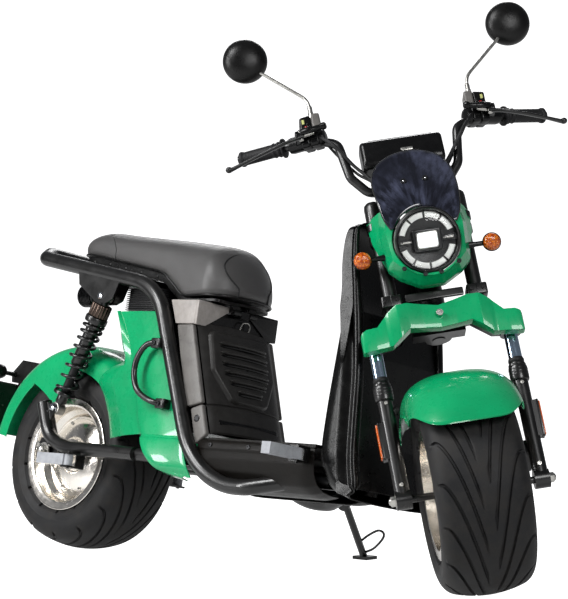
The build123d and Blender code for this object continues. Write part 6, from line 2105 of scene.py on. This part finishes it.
class SCOOTER_OT_bodywork(bpy.types.Operator):
    """Shape the fenders and the side panels."""

    bl_idname = "scooter.bodywork"
    bl_label = "Bodywork"

    def execute(self, context):
        make_bodywork(context.scene.scooter_sizes)
        return {"FINISHED"}


class SCOOTER_OT_column(bpy.types.Operator):
    """Shape the louvred panel and its side strips."""

    bl_idname = "scooter.column"
    bl_label = "Column"

    def execute(self, context):
        make_column()
        return {"FINISHED"}


class SCOOTER_OT_front_body(bpy.types.Operator):
    """Shape the leg shield and the belly covers."""

    bl_idname = "scooter.front_body"
    bl_label = "Front body"

    def execute(self, context):
        make_front_body()
        return {"FINISHED"}


class SCOOTER_OT_headlight(bpy.types.Operator):
    """Shape the shroud, the lamp, the windscreen and the signals."""

    bl_idname = "scooter.headlight"
    bl_label = "Headlight"

    def execute(self, context):
        make_headlight(context.scene.scooter_sizes)
        return {"FINISHED"}


class SCOOTER_OT_fork(bpy.types.Operator):
    """Shape the crown cover and the fork legs' trim."""

    bl_idname = "scooter.fork"
    bl_label = "Fork"

    def execute(self, context):
        make_fork(context.scene.scooter_sizes)
        return {"FINISHED"}


class SCOOTER_OT_controls(bpy.types.Operator):
    """Shape the grips, levers, switch boxes, mirrors, display and cables."""

    bl_idname = "scooter.controls"
    bl_label = "Controls"

    def execute(self, context):
        make_controls(context.scene.scooter_sizes)
        return {"FINISHED"}


class SCOOTER_OT_rear(bpy.types.Operator):
    """Wind the shocks and shape the swingarm, tail lamp and board."""

    bl_idname = "scooter.rear"
    bl_label = "Rear"

    def execute(self, context):
        make_rear(context.scene.scooter_sizes)
        return {"FINISHED"}


class SCOOTER_OT_fittings(bpy.types.Operator):
    """Shape the stand's wire loop and the frame's bolts."""

    bl_idname = "scooter.fittings"
    bl_label = "Fittings"

    def execute(self, context):
        make_fittings(context.scene.scooter_sizes)
        return {"FINISHED"}


class SCOOTER_OT_stage(bpy.types.Operator):
    """Make the floor, the lights and the camera."""

    bl_idname = "scooter.stage"
    bl_label = "Stage"

    def execute(self, context):
        make_stage()
        make_lights()
        make_camera()
        return {"FINISHED"}


OPERATORS = [
    SCOOTER_OT_finishes,
    SCOOTER_OT_wheels,
    SCOOTER_OT_seat,
    SCOOTER_OT_bodywork,
    SCOOTER_OT_column,
    SCOOTER_OT_front_body,
    SCOOTER_OT_headlight,
    SCOOTER_OT_fork,
    SCOOTER_OT_controls,
    SCOOTER_OT_rear,
    SCOOTER_OT_fittings,
    SCOOTER_OT_stage,
]


class SCOOTER_PT_pieces(bpy.types.Panel):
    """Lists the sizes, the colours and the steps that build the scooter."""

    bl_idname = "SCOOTER_PT_pieces"
    bl_label = "Scooter"
    bl_space_type = "VIEW_3D"
    bl_region_type = "UI"
    bl_category = "Scooter"

    def draw(self, context):
        for group in (context.scene.scooter_sizes, context.scene.scooter_colours):
            for name in group.__annotations__:
                self.layout.prop(group, name)
        for operator in OPERATORS:
            self.layout.operator(operator.bl_idname)


CLASSES = [ScooterSizes, ScooterColours, *OPERATORS, SCOOTER_PT_pieces]


def register():
    """Adds the classes and the two property groups."""
    for cls in CLASSES:
        bpy.utils.register_class(cls)
    bpy.types.Scene.scooter_sizes = PointerProperty(type=ScooterSizes)
    bpy.types.Scene.scooter_colours = PointerProperty(type=ScooterColours)


def unregister():
    """Takes them away again."""
    del bpy.types.Scene.scooter_colours
    del bpy.types.Scene.scooter_sizes
    for cls in reversed(CLASSES):
        bpy.utils.unregister_class(cls)


def main():
    """Builds the whole scene, one step after another."""
    register()
    bpy.context.scene.view_settings.view_transform = "Standard"
    bpy.ops.scooter.finishes()
    bpy.ops.scooter.wheels()
    bpy.ops.scooter.seat()
    bpy.ops.scooter.bodywork()
    bpy.ops.scooter.column()
    bpy.ops.scooter.front_body()
    bpy.ops.scooter.headlight()
    bpy.ops.scooter.fork()
    bpy.ops.scooter.controls()
    bpy.ops.scooter.rear()
    bpy.ops.scooter.fittings()
    bpy.ops.scooter.stage()


if __name__ == "__main__":
    main()
